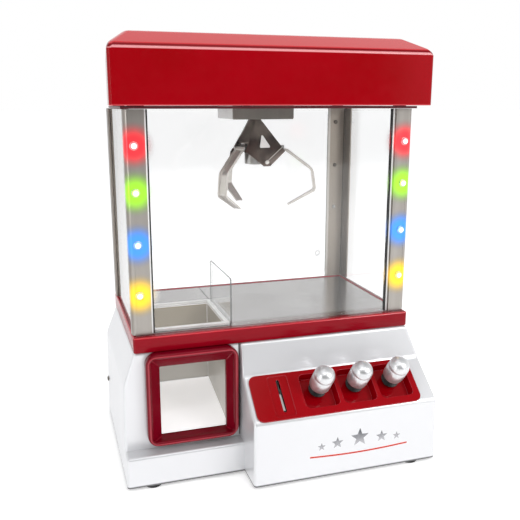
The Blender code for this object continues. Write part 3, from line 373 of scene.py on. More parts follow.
@kept
def rear_post_metal():
    """Warmer, duller metal of the rear posts, brighter along the folded edge."""
    paint = Paint("rear_post_metal", (0.36, 0.32, 0.275), 0.4, 0.6)
    band = paint.noise(110, 2, 0.5, paint.stretched((1, 1, 0.012)))
    base = paint.mix(paint.range(band, 0.35, 0.65), (0.34, 0.295, 0.25), (0.41, 0.365, 0.315))
    # Painted shade: faces turned to either side are painted darker.
    flank = paint.range(paint.math("ABSOLUTE", paint.facing("x")), 0.5, 0.95, 0.0, 0.8)
    across = paint.math("ABSOLUTE", paint.split(paint.place)[0])
    lip = paint.range(across, 101.2 * MM, 101.7 * MM, 0.85, 0.0)
    fold = paint.range(across, 115.4 * MM, 116.2 * MM, 0.0, 0.5)
    base = paint.mix(lip, base, (0.62, 0.6, 0.57))
    base = paint.mix(fold, base, (0.2, 0.18, 0.165))
    paint.colour(paint.mix(flank, base, (0.2, 0.18, 0.165)))
    paint.polish(90, 3, 0.36, 0.44)
    return paint


@kept
def floor_metal():
    """Playfield sheet: brushed across, with broad cloudy reflections and faint scuffs."""
    paint = Paint("floor_metal", (0.42, 0.41, 0.40), 0.24, 0.9)
    streak = paint.noise(260, 2, 0.5, paint.stretched((0.03, 1, 1)))
    cloud = paint.cloud(16, 3, 0.35, 0.65)
    tone = paint.mix(paint.range(streak, 0.3, 0.7), (0.35, 0.34, 0.335), (0.40, 0.39, 0.385))
    paint.colour(paint.mix(paint.math("MULTIPLY", cloud, 0.4), tone, (0.54, 0.53, 0.525)))
    paint.roughness(paint.range(streak, 0.3, 0.7, 0.21, 0.27))
    return paint


def sheet_metal(name, dark, light, metallic):
    """Folded sheet with a faint lengthwise grain."""
    return clouded(name, dark, light, metallic, 0.5, (90, 2, 0.3, 0.7), (60, 2, 0.28, 0.33), (1, 1, 0.1))


@kept
def chute_metal():
    """Inside of the prize chute: a ramp made pale by painted light, with a faint glow, and beige walls that darken
    towards the top.
    """
    low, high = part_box("prize_chute")
    paint = Paint("chute_metal", (0.6, 0.57, 0.52), 0.35, 0.15, Emission_Color=(1.0, 0.99, 0.98, 1))
    up, rise = paint.facing("z"), high.z - low.z
    wall = paint.mix(paint.range(paint.height(), low.z + 0.5 * rise, low.z + 0.75 * rise),
                     (0.55, 0.53, 0.49), (0.34, 0.295, 0.22))
    # Painted light: the pale colour of the ramp stands for light falling on it.
    ramp = paint.mix(paint.cloud(30, 2, 0.3, 0.7), (0.86, 0.86, 0.88), (0.92, 0.92, 0.94))
    paint.colour(paint.mix(paint.range(up, 0.25, 0.5), wall, ramp))
    # Painted light: up-facing faces glow faintly though nothing lights them.
    paint.link(paint.range(up, 0.25, 0.5, 0.02, 0.42), paint.shader.inputs["Emission Strength"])
    paint.polish(60, 2, 0.3, 0.4)
    return paint


def polished_steel():
    """Claw strips: stamped and polished, with lengthwise lines."""
    return clouded("polished_steel", (0.57, 0.54, 0.5), (0.66, 0.63, 0.59), 0.5, 0.5,
                   (260, 2, 0.3, 0.7, 0.6), (100, 3, 0.34, 0.42), (1, 1, 0.12))


@kept
def dark_nickel():
    """Claw hood: dark nickel plate, cloudy, browner and brighter in patches."""
    paint = Paint("dark_nickel", (0.14, 0.12, 0.105), 0.3, 0.9)
    fine = paint.range(paint.noise(260, 3, 0.6), 0.35, 0.65, 0.0, 0.4)
    base = paint.mix(paint.cloud(60, 4, 0.36, 0.66, 0.55), (0.115, 0.10, 0.09), (0.215, 0.18, 0.155))
    paint.colour(paint.mix(fine, base, (0.16, 0.135, 0.12)))
    paint.polish(120, 3, 0.28, 0.38)
    paint.bump(paint.noise(150, 3), 0.03, 0.0002)
    return paint


def satin_chrome():
    """Joystick knobs: satin plating, smeared by fingers."""
    return clouded("satin_chrome", (0.68, 0.685, 0.695), (0.62, 0.625, 0.635), 0.8, 0.5,
                   (60, 3, 0.4, 0.7), (90, 2, 0.29, 0.34))


def plain_steel():
    return clouded("plain_steel", (0.46, 0.45, 0.44), (0.54, 0.53, 0.52), 1.0, 0.5,
                   (150, 3, 0.3, 0.7), (200, 3, 0.28, 0.35))


def screw_steel():
    return clouded("screw_steel", (0.13, 0.115, 0.10), (0.20, 0.18, 0.16), 0.9, 0.5,
                   (300, 2, 0.3, 0.7), (400, 2, 0.3, 0.42))


@kept
def moulded(name, colour, roughness):
    """Plain moulded plastic with a fine spark-eroded grain."""
    paint = Paint(name, colour, roughness)
    lighter = tuple(min(1.0, 1.15 * c + 0.003) for c in colour)
    paint.colour(paint.mix(paint.cloud(25, 4, 0.3, 0.7), colour, lighter))
    paint.polish(300, 3, roughness * 0.9, roughness * 1.1)
    paint.bump(paint.noise(1200, 2), 0.05, 0.0001)
    return paint


@kept
def rubber():
    paint = Paint("rubber", (0.018, 0.018, 0.018), 0.75)
    paint.colour(paint.mix(paint.cloud(60, 5, 0.4, 0.7), (0.014, 0.014, 0.014), (0.035, 0.034, 0.033)))
    paint.bump(paint.noise(1200, 3), 0.25, 0.0002)
    return paint


@kept
def lit_lens(name):
    """Glowing LED lens: white hot in the middle, its own colour at the rim."""
    rise, colour = LEDS[name]
    pale = tuple(0.4 * c + 0.6 for c in colour)
    paint = Paint("lens_" + name, pale, 0.15, Emission_Strength=2.2)
    x, y, z = paint.split(paint.place)
    off_axis = paint.math("SUBTRACT", paint.math("ABSOLUTE", x), LED_X)
    up = paint.math("SUBTRACT", z, LED_HEIGHTS[name])
    reach = paint.math("SQRT", paint.math("ADD", paint.math("MULTIPLY", off_axis, off_axis),
                                          paint.math("MULTIPLY", up, up)))
    rim = paint.range(reach, 0.9 * MM, 2.6 * MM)
    paint.colour(paint.mix(rim, pale, colour))
    paint.link(paint.mix(rim, (1.0, 1.0, 1.0), colour), paint.shader.inputs["Emission Color"])
    return paint


@kept
def printed(name, dark, light, low, high):
    """Foil print that runs from one tone at its foot to another at its top."""
    paint = Paint(name, light, 0.25, 0.6)
    grain = paint.range(paint.noise(500, 2), 0.3, 0.7, -0.06, 0.06)
    factor = paint.math("ADD", paint.range(paint.height(), low, high), grain)
    paint.colour(paint.mix(factor, dark, light))
    paint.polish(400, 2, 0.2, 0.27)
    return paint


@kept
def clear_knob():
    """Clear moulded pull, cloudy where it is thick."""
    paint = Paint("clear_knob", (0.9, 0.92, 0.92), 0.12)
    rim = paint.math("POWER", paint.turned_away(), 2)
    cloud = paint.range(paint.noise(200, 2), 0.3, 0.7, 0.0, 0.05)
    alpha = paint.math("ADD", paint.math("MULTIPLY_ADD", rim, 0.35, 0.08), cloud)
    paint.link(alpha, paint.shader.inputs["Alpha"])
    paint.colour(paint.mix(rim, (0.93, 0.95, 0.95), (0.6, 0.63, 0.63)))
    return paint


@kept
def board_green():
    """Solder-masked board with lighter tracks."""
    paint = Paint("board_green", (0.01, 0.09, 0.03), 0.35)
    inputs = {"Scale": 160, "Mortar Size": 0.04, "Color1": (0.01, 0.08, 0.03, 1),
              "Color2": (0.012, 0.10, 0.035, 1), "Mortar": (0.03, 0.2, 0.07, 1), "Vector": paint.place}
    paint.colour(paint.node("TexBrick", inputs).outputs["Color"])
    paint.polish(300, 3, 0.28, 0.42)
    return paint


@kept
def acrylic(thin_axis, edge_alpha):
    """Clear sheet lit by the LEDs beside it: mirror-like along it, with dense grey cut edges."""
    name = f"acrylic_{thin_axis}_{round(100 * edge_alpha)}"
    paint = Paint(name, (0.95, 0.96, 0.96), 0.04, 1.0, Emission_Strength=0.9)
    edge = paint.math("LESS_THAN", paint.math("ABSOLUTE", paint.facing(thin_axis)), 0.6)
    grazing = paint.math("POWER", paint.turned_away(), 3.5)
    clear = paint.math("MULTIPLY_ADD", grazing, 0.9, 0.035)
    smudge = paint.range(paint.noise(24, 5, 0.6), 0.5, 0.8, 0.0, 0.02)
    light, amount = paint.led_light(19)
    haze = paint.math("MULTIPLY", amount, 0.5)
    alpha = paint.math("ADD", paint.math("ADD", clear, smudge), haze)
    alpha = paint.math("MAXIMUM", alpha, paint.math("MULTIPLY", edge, edge_alpha))
    paint.link(alpha, paint.shader.inputs["Alpha"])
    paint.link(light, paint.shader.inputs["Emission Color"])
    face = paint.mix(amount, (0.95, 0.96, 0.96), light)
    paint.colour(paint.mix(edge, face, (0.06, 0.065, 0.065)))
    paint.link(paint.math("SUBTRACT", 1.0, edge), paint.shader.inputs["Metallic"])
    paint.polish(50, 4, 0.02, 0.07)
    return paint


# ---------------------------------------------------------------- mesh helpers

def shade(mesh, sharp=35):
    """Smooth shading that keeps edges over this many degrees sharp."""
    mesh.shade_smooth()
    mesh.set_sharp_from_angle(angle=math.radians(sharp))


def mesh_object(name, bm, smooth=True, sharp=35):
    bmesh.ops.recalc_face_normals(bm, faces=bm.faces)
    mesh = bpy.data.meshes.new(name)
    bm.to_mesh(mesh)
    bm.free()
    if smooth:
        shade(mesh, sharp)
    obj = bpy.data.objects.new(name, mesh)
    bpy.context.scene.collection.objects.link(obj)
    return obj


def apply_modifiers(obj):
    """Bake an object's modifiers into its mesh."""
    depsgraph = bpy.context.evaluated_depsgraph_get()
    mesh = bpy.data.meshes.new_from_object(obj.evaluated_get(depsgraph))
    obj.modifiers.clear()
    obj.data = mesh


def bevelled(obj, width, segments=3, angle=28):
    modifier = obj.modifiers.new("round", "BEVEL")
    modifier.width = width
    modifier.segments = segments
    modifier.limit_method = "ANGLE"
    modifier.angle_limit = math.radians(angle)
    apply_modifiers(obj)
    shade(obj.data, 40)
    weighted = obj.modifiers.new("flat_faces", "WEIGHTED_NORMAL")
    weighted.keep_sharp = True
    weighted.weight = 80
    apply_modifiers(obj)
    return obj


def refined(node, material, width, segments=2, angle=50):
    """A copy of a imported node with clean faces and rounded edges, standing for the node."""
    bm = bmesh.new()
    bm.from_mesh(NODES[node].data)
    bmesh.ops.remove_doubles(bm, verts=bm.verts, dist=2e-6)
    bmesh.ops.dissolve_limit(bm, angle_limit=math.radians(0.6), verts=bm.verts, edges=bm.edges)
    piece = mesh_object(node + "_finish", bm)
    if width:
        bevelled(piece, width, segments, angle)
    return dressed(piece, material, node, node)


def dressed(piece, materials, body_node, *replaced, slot=None):
    """Give a piece its materials, its body and the nodes that it stands for; slot is not used."""
    piece.data.materials.clear()
    for material in materials if isinstance(materials, tuple) else (materials,):
        piece.data.materials.append(material)
    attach(piece, BODY_OF[body_node])
    if replaced:
        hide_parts(*replaced)
    return piece


def paint_node(node, material):
    obj = NODES[node]
    obj.data.materials.clear()
    obj.data.materials.append(material)
    shade(obj.data)


def turned(bm, profile, base, axis, sides=48):
    """A turned solid from (radius, height) points in millimetres, capped at both ends."""
    base, axis = Vector(base), Vector(axis).normalized()
    side = axis.orthogonal().normalized()
    other = axis.cross(side)
    rings = []
    for radius, height in profile:
        ring = []
        for i in range(sides):
            turn = 2 * math.pi * i / sides
            offset = radius * (math.cos(turn) * side + math.sin(turn) * other)
            ring.append(bm.verts.new(base + (height * axis + offset) * MM))
        rings.append(ring)
    bridge(bm, rings, False)


def bridge(bm, rings, closed):
    pairs = list(zip(rings, rings[1:]))
    if closed:
        pairs.append((rings[-1], rings[0]))
    for low, high in pairs:
        for i in range(len(low)):
            j = (i + 1) % len(low)
            bm.faces.new((low[i], low[j], high[j], high[i]))
    if not closed:
        bm.faces.new(rings[0])
        bm.faces.new(rings[-1])


def rod(bm, start, end, radius):
    """A slim round bar between two points."""
    turned(bm, [(radius, 0), (radius, (end - start).length / MM)], start, end - start, 10)


def turned_piece(name, profile, base, axis, sides, **options):
    bm = bmesh.new()
    turned(bm, profile, base, axis, sides)
    return mesh_object(name, bm, **options)


def loft(bm, loops, closed=False):
    bridge(bm, [[bm.verts.new(point) for point in loop] for loop in loops], closed)


def lofted(name, loops, closed=False, **options):
    """An object made of one loft."""
    bm = bmesh.new()
    loft(bm, loops, closed)
    return mesh_object(name, bm, **options)


def rounded(u0, u1, v0, v1, radius, steps=6):
    """Points of a rectangle with round corners."""
    points = []
    for u, v, start in ((u1, v1, 0), (u0, v1, 90), (u0, v0, 180), (u1, v0, 270)):
        cu = u - math.copysign(radius, u - (u0 + u1) / 2)
        cv = v - math.copysign(radius, v - (v0 + v1) / 2)
        for i in range(steps + 1):
            angle = math.radians(start + 90 * i / steps)
            points.append((cu + radius * math.cos(angle), cv + radius * math.sin(angle)))
    return points


def at(x, d, z):
    """A point in metres from millimetres across, behind the front of the posts, and up."""
    return Vector((x * MM, FRONT + d * MM, z * MM))


def extent(node):
    """Left, right, front, rear, bottom and top of a node in millimetres."""
    low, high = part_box(node)
    return [value / MM for value in (low.x, high.x, low.y - FRONT, high.y - FRONT, low.z, high.z)]


def pivot_of(joint):
    return Vector(JOINTS[joint]["pos_m"])


def axis_of(joint):
    return Vector(JOINTS[joint]["axis"]).normalized()


def cut(obj, bm):
    """Cut a temporary shape out of an object."""
    tool = mesh_object("tool", bm, smooth=False)
    modifier = obj.modifiers.new("cut", "BOOLEAN")
    modifier.object = tool
    modifier.operation = "DIFFERENCE"
    modifier.solver = "EXACT"
    bpy.context.view_layer.update()
    apply_modifiers(obj)
    bpy.data.objects.remove(tool, do_unlink=True)
    return obj


# ---------------------------------------------------------------- base and cabinet

def finish_base():
    refined("base_shell", silver_plastic(), 0.0006)
    for node in ("base_plate", "battery_door"):
        refined(node, moulded("black_base", (0.02, 0.02, 0.021), 0.5), 0.0004)
    for corner in ("front_left", "front_right", "rear_left", "rear_right"):
        refined("foot_" + corner, rubber(), 0.0004, 2, 28)
    refined("power_switch", moulded("black_switch", (0.015, 0.015, 0.016), 0.35), 0.0004, 3, 28)
    refined("dc_jack", moulded("black_jack", (0.015, 0.015, 0.016), 0.35), 0.0003)
    paint_node("speaker", moulded("speaker_cone", (0.03, 0.03, 0.032), 0.7))
    paint_node("circuit_board", board_green())
    base_screws()


def base_screws():
    """Cabinet screws: low on each side near the rear, along the rear, and in the underside."""
    _, side, _, rear, _, _ = extent("base_shell")
    for sign, name in ((-1, "left"), (1, "right")):
        places = [at(sign * (side - 0.5), 131, 38)]
        screws("side_screw_" + name, "base_shell", places, (sign, 0, 0), 2.4)
    places = [at(x, rear - 0.1, z) for x in (-118, 118) for z in (14, 76)]
    screws("rear_screws", "base_shell", places, (0, 1, 0), 2.4)
    under = extent("base_plate")[4]
    places = [at(x, d, under + 0.1) for x in (-90, 90) for d in (20, 100)]
    screws("base_plate_screws", "base_plate", places, (0, 0, -1), 2.4)


def joint_and_shade_black():
    # Near-black plastic, for the playfield's real joint line and for the strip of painted shade beside the control
    # housing.
    return moulded("joint_and_shade_black", (0.03, 0.03, 0.03), 0.6)


def painted_step_shade():
    """Black strip of painted shade where the control housing meets the front panel, for the shaded side of the
    small step there.
    """
    low, high = extent("prize_door_frame")[4] - 3, extent("window_sill")[4] - 1
    outline = ((-33.9, -3.1), (-33.9, -3.3), (-33.6, -3.45), (-33.25, -3.45), (-33.1, -3.1))
    # Painted shade: a thin black strip stands for the shaded side of the step.
    seam_and_shade_strip = lofted("painted_step_shade", [[at(x, d, z) for x, d in outline] for z in (low, high)])
    dressed(seam_and_shade_strip, joint_and_shade_black(), "base_shell", slot="black_plastic")


def prize_frame():
    """Surround: a rounded bead round a flat slope that is mitred at its four corners."""
    ox0, ox1, oz0, oz1 = -111.3, -35.8, 32.5, 111.0
    x0, x1, z0, z1 = -99.2, -44.5, 37.5, 97.5
    bead, face, deep, back = 4.2, -9.8, 1.6, -3.5
    profile = [(0, back), (0, face)]
    for i in range(1, 10):
        angle = math.radians(180 * i / 10)
        profile.append((bead / 2 * (1 - math.cos(angle)), face - 2.2 * math.sin(angle)))
    profile += [(bead, -9.6), (bead, back)]
    bm = bmesh.new()
    rings = []
    for inset, d in profile:
        points = rounded(ox0 + inset, ox1 - inset, oz0 + inset, oz1 - inset, 9.5 - 1.6 * inset, 12)
        rings.append([at(u, d, v) for u, v in points])
    loft(bm, rings, closed=True)
    rings = []
    for (u0, u1, v0, v1), d in (((ox0 + 3, ox1 - 3, oz0 + 3, oz1 - 3), -10.6), ((x0, x1, z0, z1), -2.6),
                                ((x0, x1, z0, z1), deep), ((x0 - 2, x1 + 2, z0 - 2, z1 + 2), deep),
                                ((ox0 + 3, ox1 - 3, oz0 + 3, oz1 - 3), back)):
        rings.append([at(u, d, v) for u, v in ((u1, v1), (u0, v1), (u0, v0), (u1, v0))])
    loft(bm, rings, closed=True)
    frame_piece = mesh_object("prize_frame_finish", bm, sharp=34)
    bevelled(frame_piece, 0.35 * MM, 2, 34)
    polish = painted_highlight_red("bead_red", (0.24, 0.003, 0.014))
    dressed(frame_piece, (dark_red(), polish), "prize_door_frame", "prize_door_frame")
    # Painted highlight: the crown faces of the bead take the brighter red.
    crown = at(0, -11.75, 0).y
    for polygon in frame_piece.data.polygons:
        if polygon.center.y < crown:
            polygon.material_index = 1
    # Painted highlight: slim raised rods along the four mitres carry the brighter red, as light lines along the
    # mitres.
    bm = bmesh.new()
    for u, outer_u in ((x0, ox0 + 3.4), (x1, ox1 - 3.4)):
        for v, outer_v in ((z0, oz0 + 3.4), (z1, oz1 - 3.4)):
            rod(bm, at(outer_u, -10.5, outer_v), at(u, -2.7, v), 0.42)
    mitres = mesh_object("prize_frame_mitres", bm)
    dressed(mitres, polish, "prize_door_frame")


def sill():
    """Moulded rail round the playfield, with a painted highlight on the round edge along its top."""
    x0, x1, d0, d1, z0, z1 = extent("window_sill")
    edge = 1.5
    profile = [(0.6, z0), (0.0, z0 + 0.6)]
    for i in range(7):
        turn = math.radians(15 * i)
        profile.append((edge * (1 - math.cos(turn)), z1 - edge * (1 - math.sin(turn))))
    rings = []
    for inset, z in profile:
        outline = rounded(x0 + inset, x1 - inset, d0 + inset, d1 - inset, 2.4 - inset)
        rings.append([at(u, v, z) for u, v in outline])
    for inset, z in ((0.4, z1), (0.0, z1 - 0.4), (0.0, z0)):
        outline = rounded(-114.8 - inset, 114.8 + inset, 2.8 - inset, 130.3 + inset, 0.6 + inset)
        rings.append([at(u, v, z) for u, v in outline])
    piece = lofted("window_sill_finish", rings, closed=True, sharp=50)
    dressed(piece, (sill_red(), painted_highlight_red("sill_edge", (0.42, 0.01, 0.02))), "window_sill", "window_sill")
    # Painted highlight: the faces of the round top edge take the brighter red.
    for face in piece.data.polygons:
        if face.center.z > (z1 - 0.95 * edge) * MM and 0.35 < face.normal.z < 0.93:
            face.material_index = 1


def chute_rim():
    """Bright folded frame round the playfield hole, mitred at its corners."""
    x0, x1, d0, d1, z0, z1 = extent("chute_rim")
    width = 3.9
    rings = []
    for inset, z in ((0, z0), (0, z1 - 0.5), (0.5, z1), (width - 0.6, z1), (width, z1 - 0.6), (width, z0)):
        left, right, near, far = x0 + inset, x1 - inset, d0 + inset, d1 - inset
        rings.append([at(right, far, z), at(left, far, z), at(left, near, z), at(right, near, z)])
    rim = lofted("chute_rim_finish", rings, closed=True, smooth=False)
    dressed(rim, sheet_metal("rim_metal", *BRIGHT_SHEET, 0.35), "chute_rim", "chute_rim")


def chute_folds():
    """Folded seams of the prize chute: along the top of the ramp and up its two rear corners."""
    wall = 1.2
    left, right, _, rear, _, top = extent("prize_chute")
    x0, x1, rear = left + wall, right - wall, rear - wall
    bm = bmesh.new()
    rod(bm, at(x0, rear - 0.2, RAMP_TOP), at(x1, rear - 0.2, RAMP_TOP), 0.5)
    for x in (x0 + 0.1, x1 - 0.1):
        rod(bm, at(x, rear - 0.1, RAMP_TOP), at(x, rear - 0.1, top - 0.4), 0.4)
    folds = mesh_object("chute_folds", bm, sharp=60)
    dressed(folds, sheet_metal("fold_metal", *BRIGHT_SHEET, 0.2), "prize_chute")


def floor_seam():
    """Joint line of the playfield sheet behind the chute guard."""
    outline = ((-38.0, 123.3), (-37.8, 123.62), (-37.2, 123.62), (-37.0, 123.3))
    seam_and_shade_strip = lofted("floor_seam", [[at(x, d, z) for x, z in outline] for d in (78.8, 129.0)], smooth=False)
    dressed(seam_and_shade_strip, joint_and_shade_black(), "floor_tray", slot="black_plastic")


def pane_gaskets():
    """Pale channels that hold the upright edges of the front pane, with a black seal along each."""
    heights = extent("window_front")[4:]
    channel_white = moulded("channel_white", (0.82, 0.82, 0.81), 0.35)
    gasket_black = moulded("gasket_black", (0.018, 0.018, 0.018), 0.4)
    for side, name in ((-1, "left"), (1, "right")):
        outline = ((103.45, 2.6), (102.4, 2.6), (102.15, 2.8), (102.15, 3.3), (103.3, 3.3), (103.3, 5.1),
                   (102.15, 5.1), (102.15, 5.6), (102.4, 5.8), (103.45, 5.8))
        channel = lofted("pane_channel_" + name, [[at(side * x, d, z) for x, d in outline] for z in heights])
        dressed(channel, channel_white, "window_front", slot="white_plastic")
        bm = bmesh.new()
        for outline in (((102.1, 2.7), (101.0, 2.7), (100.8, 3.3), (102.1, 3.3)),
                        ((102.1, 5.1), (100.8, 5.1), (101.0, 5.7), (102.1, 5.7))):
            loft(bm, [[at(side * x, d, z) for x, d in outline] for z in heights])
        gasket = mesh_object("pane_gasket_" + name, bm)
        dressed(gasket, gasket_black, "window_front", slot="black_plastic")


def add_screw(bm, place, axis, radius):
    """Pan-head screw with a cross recess; the recess faces take the second material."""
    axis = Vector(axis).normalized()
    profile = ((1, 0), (1, 0.25), (0.86, 0.42), (0.5, 0.55))
    turned(bm, [(r * radius, h * radius) for r, h in profile], place, axis, 24)
    side = axis.orthogonal().normalized()
    other = axis.cross(side)
    known = set(bm.faces)
    for along, across in ((side, other), (other, side)):
        loops = []
        for height, shrink in ((0.4, 1.0), (0.57, 0.8)):
            points = []
            for u, v in ((-1, -1), (1, -1), (1, 1), (-1, 1)):
                arm = shrink * (0.62 * u * along + 0.16 * v * across)
                points.append(place + radius * MM * (height * axis + arm))
            loops.append(points)
        loft(bm, loops)
    for face in set(bm.faces) - known:
        face.material_index = 1


def screws(name, node, places, axis, radius, metal=screw_steel):
    bm = bmesh.new()
    for place in places:
        add_screw(bm, place, axis, radius)
    piece = mesh_object(name, bm)
    dressed(piece, (metal(), moulded("recess_black", (0.01, 0.01, 0.01), 0.7)), node, slot="steel")


def finish_cabinet():
    sill()
    refined("floor_tray", floor_metal(), 0.0003)
    chute_rim()
    chute_folds()
    floor_seam()
    refined("prize_chute", chute_metal(), 0.0003)
    prize_frame()
    pane_gaskets()
    for node in ("post_front_left", "post_front_right"):
        refined(node, post_metal(), 0.0004)
    for node in ("post_rear_left", "post_rear_right"):
        refined(node, rear_post_metal(), 0.0003)
    for side, node in ((-1, "post_rear_left"), (1, "post_rear_right")):
        places = [at(side * 107, 131.4, z) for z in (284, 241, 198)]
        screws("screws_" + node, node, places[:2], (0, -1, 0), 2.1)
        screws("low_screw_" + node, node, places[2:], (0, -1, 0), 1.9, plain_steel)
        places = [at(side * 112, 133, z) for z in (290, 212, 134)]
        screws("rear_screws_" + node, node, places, (0, 1, 0), 2.0)
    for node, axis, edge in (("window_front", "y", 0.5), ("window_left", "x", 0.5),
                             ("window_right", "x", 0.5), ("rear_door", "y", 0.3), ("chute_guard", "x", 0.9)):
        refined(node, acrylic(axis, edge), 0.0002, 1)
    refined("rear_door_knob", clear_knob(), 0.0003)
    paint_node("rear_hinge_pin", plain_steel())


def finish_leds():
    """A lit dome in a bright ring for every LED, in front of its board."""
    for side, name in ((-1, "left"), (1, "right")):
        node = "led_strip_" + name
        paint_node(node, moulded("led_board", (0.6, 0.6, 0.58), 0.4))
        for colour, height in LED_HEIGHTS.items():
            centre = Vector((side * LED_X, FRONT + 0.2 * MM, height))
            profile = [(2.5, 0), (2.5, 0.9)]
            for i in range(1, 8):
                angle = math.radians(90 * i / 8)
                profile.append((2.5 * math.cos(angle), 0.9 + 1.7 * math.sin(angle)))
            lens = turned_piece(f"lens_{name}_{colour}", profile, centre, (0, -1, 0), 32, sharp=50)
            dressed(lens, lit_lens(colour), node)
            rings = []
            for radius, height_mm in ((2.6, 0), (3.3, 0), (3.25, 0.35), (2.95, 0.55), (2.65, 0.35)):
                ring = []
                for i in range(40):
                    turn = 2 * math.pi * i / 40
                    offset = Vector((math.cos(turn), 0, math.sin(turn))) * radius * MM
                    ring.append(centre + offset - Vector((0, (height_mm + 0.15) * MM, 0)))
                rings.append(ring)
            bezel = lofted(f"bezel_{name}_{colour}", rings, closed=True)
            dressed(bezel, plain_steel(), "post_front_" + name, slot="steel")


# ---------------------------------------------------------------- roof and gantry

def roof():
    """Hollow cover: upright fascia, hipped top with a flat crown, all edges generously rounded."""
    _, half, _, _, bottom, top = extent("roof_cover")
    fascia, rear_half, front, rear = 343.2, 117.0, -11.6, 141.0
    corners_at = {"outer": ((-half, front), (half, front), (rear_half, rear), (-rear_half, rear)),
                  "crown": ((-113, 18), (116, 18), (107, 118), (-105, 118))}
    bm = bmesh.new()
    rings = []
    for z, key in ((bottom, "outer"), (fascia, "outer"), (top, "crown")):
        rings.append([bm.verts.new(at(x, d, z)) for x, d in corners_at[key]])
    for lower, upper in zip(rings, rings[1:]):
        for i in range(4):
            j = (i + 1) % 4
            bm.faces.new((lower[i], lower[j], upper[j], upper[i]))
    bm.faces.new(rings[-1])
    edges = [edge for edge in bm.edges if not edge.is_boundary]
    bmesh.ops.bevel(bm, geom=edges, offset=3.6 * MM, segments=7, profile=0.5, affect="EDGES")
    piece = mesh_object("roof_finish", bm, smooth=False)
    shell = piece.modifiers.new("wall", "SOLIDIFY")
    shell.thickness = 2.4 * MM
    shell.offset = -1
    apply_modifiers(piece)
    bevelled(piece, 0.6 * MM, 3, 65)
    dressed(piece, roof_red(), "roof_cover", "roof_cover")


def finish_carriage():
    """Grey housing whose front face is a darker plate."""
    light = sheet_metal("carriage_side", (0.62, 0.61, 0.60), (0.68, 0.67, 0.66), 0.4)
    dark = sheet_metal("carriage_front", (0.19, 0.175, 0.155), (0.23, 0.21, 0.185), 0.5)
    housing = refined("carriage_housing", light, 0.0004)
    housing.data.materials.append(dark)
    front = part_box("carriage_housing")[0].y
    for face in housing.data.polygons:
        if face.center.y < front + 1.0 * MM and face.normal.y < -0.5:
            face.material_index = 1
    refined("carriage_cover", moulded("black_cover", (0.02, 0.02, 0.022), 0.45), 0.0004)


def hoist_cord():
    """Black braided cord from the drum to the top of the claw."""
    low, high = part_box("hoist_cord")
    centre_x, centre_y = (low.x + high.x) / 2, (low.y + high.y) / 2
    rings = []
    steps = 24
    for i in range(steps + 1):
        z = high.z + (low.z - high.z) * i / steps
        ring = []
        for k in range(16):
            turn = 2 * math.pi * k / 16
            radius = (0.5 + 0.06 * math.cos(3 * (turn + 0.5 * i))) * MM
            ring.append(Vector((centre_x + radius * math.cos(turn), centre_y + radius * math.sin(turn), z)))
        rings.append(ring)
    cord = lofted("hoist_cord_finish", rings)
    cord.data.materials.append(moulded("cord", (0.03, 0.03, 0.03), 0.6))
    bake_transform(cord)
    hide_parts("hoist_cord")


def finish_roof():
    roof()
    refined("top_frame", moulded("dark_frame", (0.085, 0.001, 0.007), 0.42), 0.0004)
    for node in ("side_rail_left", "side_rail_right", "bridge_rod_front", "bridge_rod_rear",
                 "x_motor", "y_motor", "hoist_motor"):
        paint_node(node, plain_steel())
    for node in ("x_pinion", "y_pinion", "hoist_spool"):
        paint_node(node, moulded("white_gear", (0.72, 0.72, 0.69), 0.45))
    paint_node("bridge_frame", moulded("black_bridge", (0.025, 0.025, 0.027), 0.45))
    finish_carriage()
    hoist_cord()


# ---------------------------------------------------------------- controls

def knob(stick):
    """Plated knob: straight barrel, a fine groove, and a domed top."""
    base = pivot_of(f"stick_{stick}_tilt") + 18 * MM * PANEL_NORMAL
    dome, shoulder = 8.75, 15.5
    profile = [(7.5, 0), (8.3, 0.3), (8.7, 1.0), (8.8, 1.8), (8.8, 14.6), (8.55, 14.9), (8.55, 15.2)]
    profile.append((dome, shoulder))
    for i in range(1, 14):
        angle = math.radians(90 * i / 14)
        profile.append((dome * math.cos(angle) ** 0.85, shoulder + 7.5 * math.sin(angle)))
    profile.append((0.3, 23.0))
    node = "knob_" + stick
    piece = turned_piece(node + "_finish", profile, base, PANEL_NORMAL, 64, sharp=50)
    dressed(piece, satin_chrome(), node, node)


def boot(stick):
    """Ribbed black boot between the lever's dust disc and the knob; its near-black colour is partly painted shade,
    for the dark hole under the knob.
    """
    base = pivot_of(f"stick_{stick}_tilt") + 10.2 * MM * PANEL_NORMAL
    profile = [(7.2, 0), (7.2, 0.6), (6.6, 1.2)]
    for i, radius in enumerate((5.9, 5.4, 5.0, 4.7)):
        profile += [(radius, 1.6 + 1.5 * i), (radius - 0.9, 2.3 + 1.5 * i)]
    piece = turned_piece("boot_" + stick, profile, base, PANEL_NORMAL, 40, sharp=60)
    # Partly painted shade: near-black for the shaded hole under the knob.
    black = moulded("black_boot", (0.006, 0.006, 0.006), 0.6)
    dressed(piece, black, "lever_" + stick, slot="black_plastic")


def star(bm, centre, radius, depth):
    """Five-pointed star standing off the front face of the control housing."""
    loops = []
    for lift, shrink in ((0.0, 1.0), (depth, 0.96)):
        points = []
        for i in range(10):
            reach = radius * shrink * (1.0 if i % 2 == 0 else 0.42)
            turn = math.radians(90 + 36 * i)
            points.append(centre + Vector((reach * math.cos(turn), -lift, reach * math.sin(turn))))
        loops.append(points)
    loft(bm, loops)


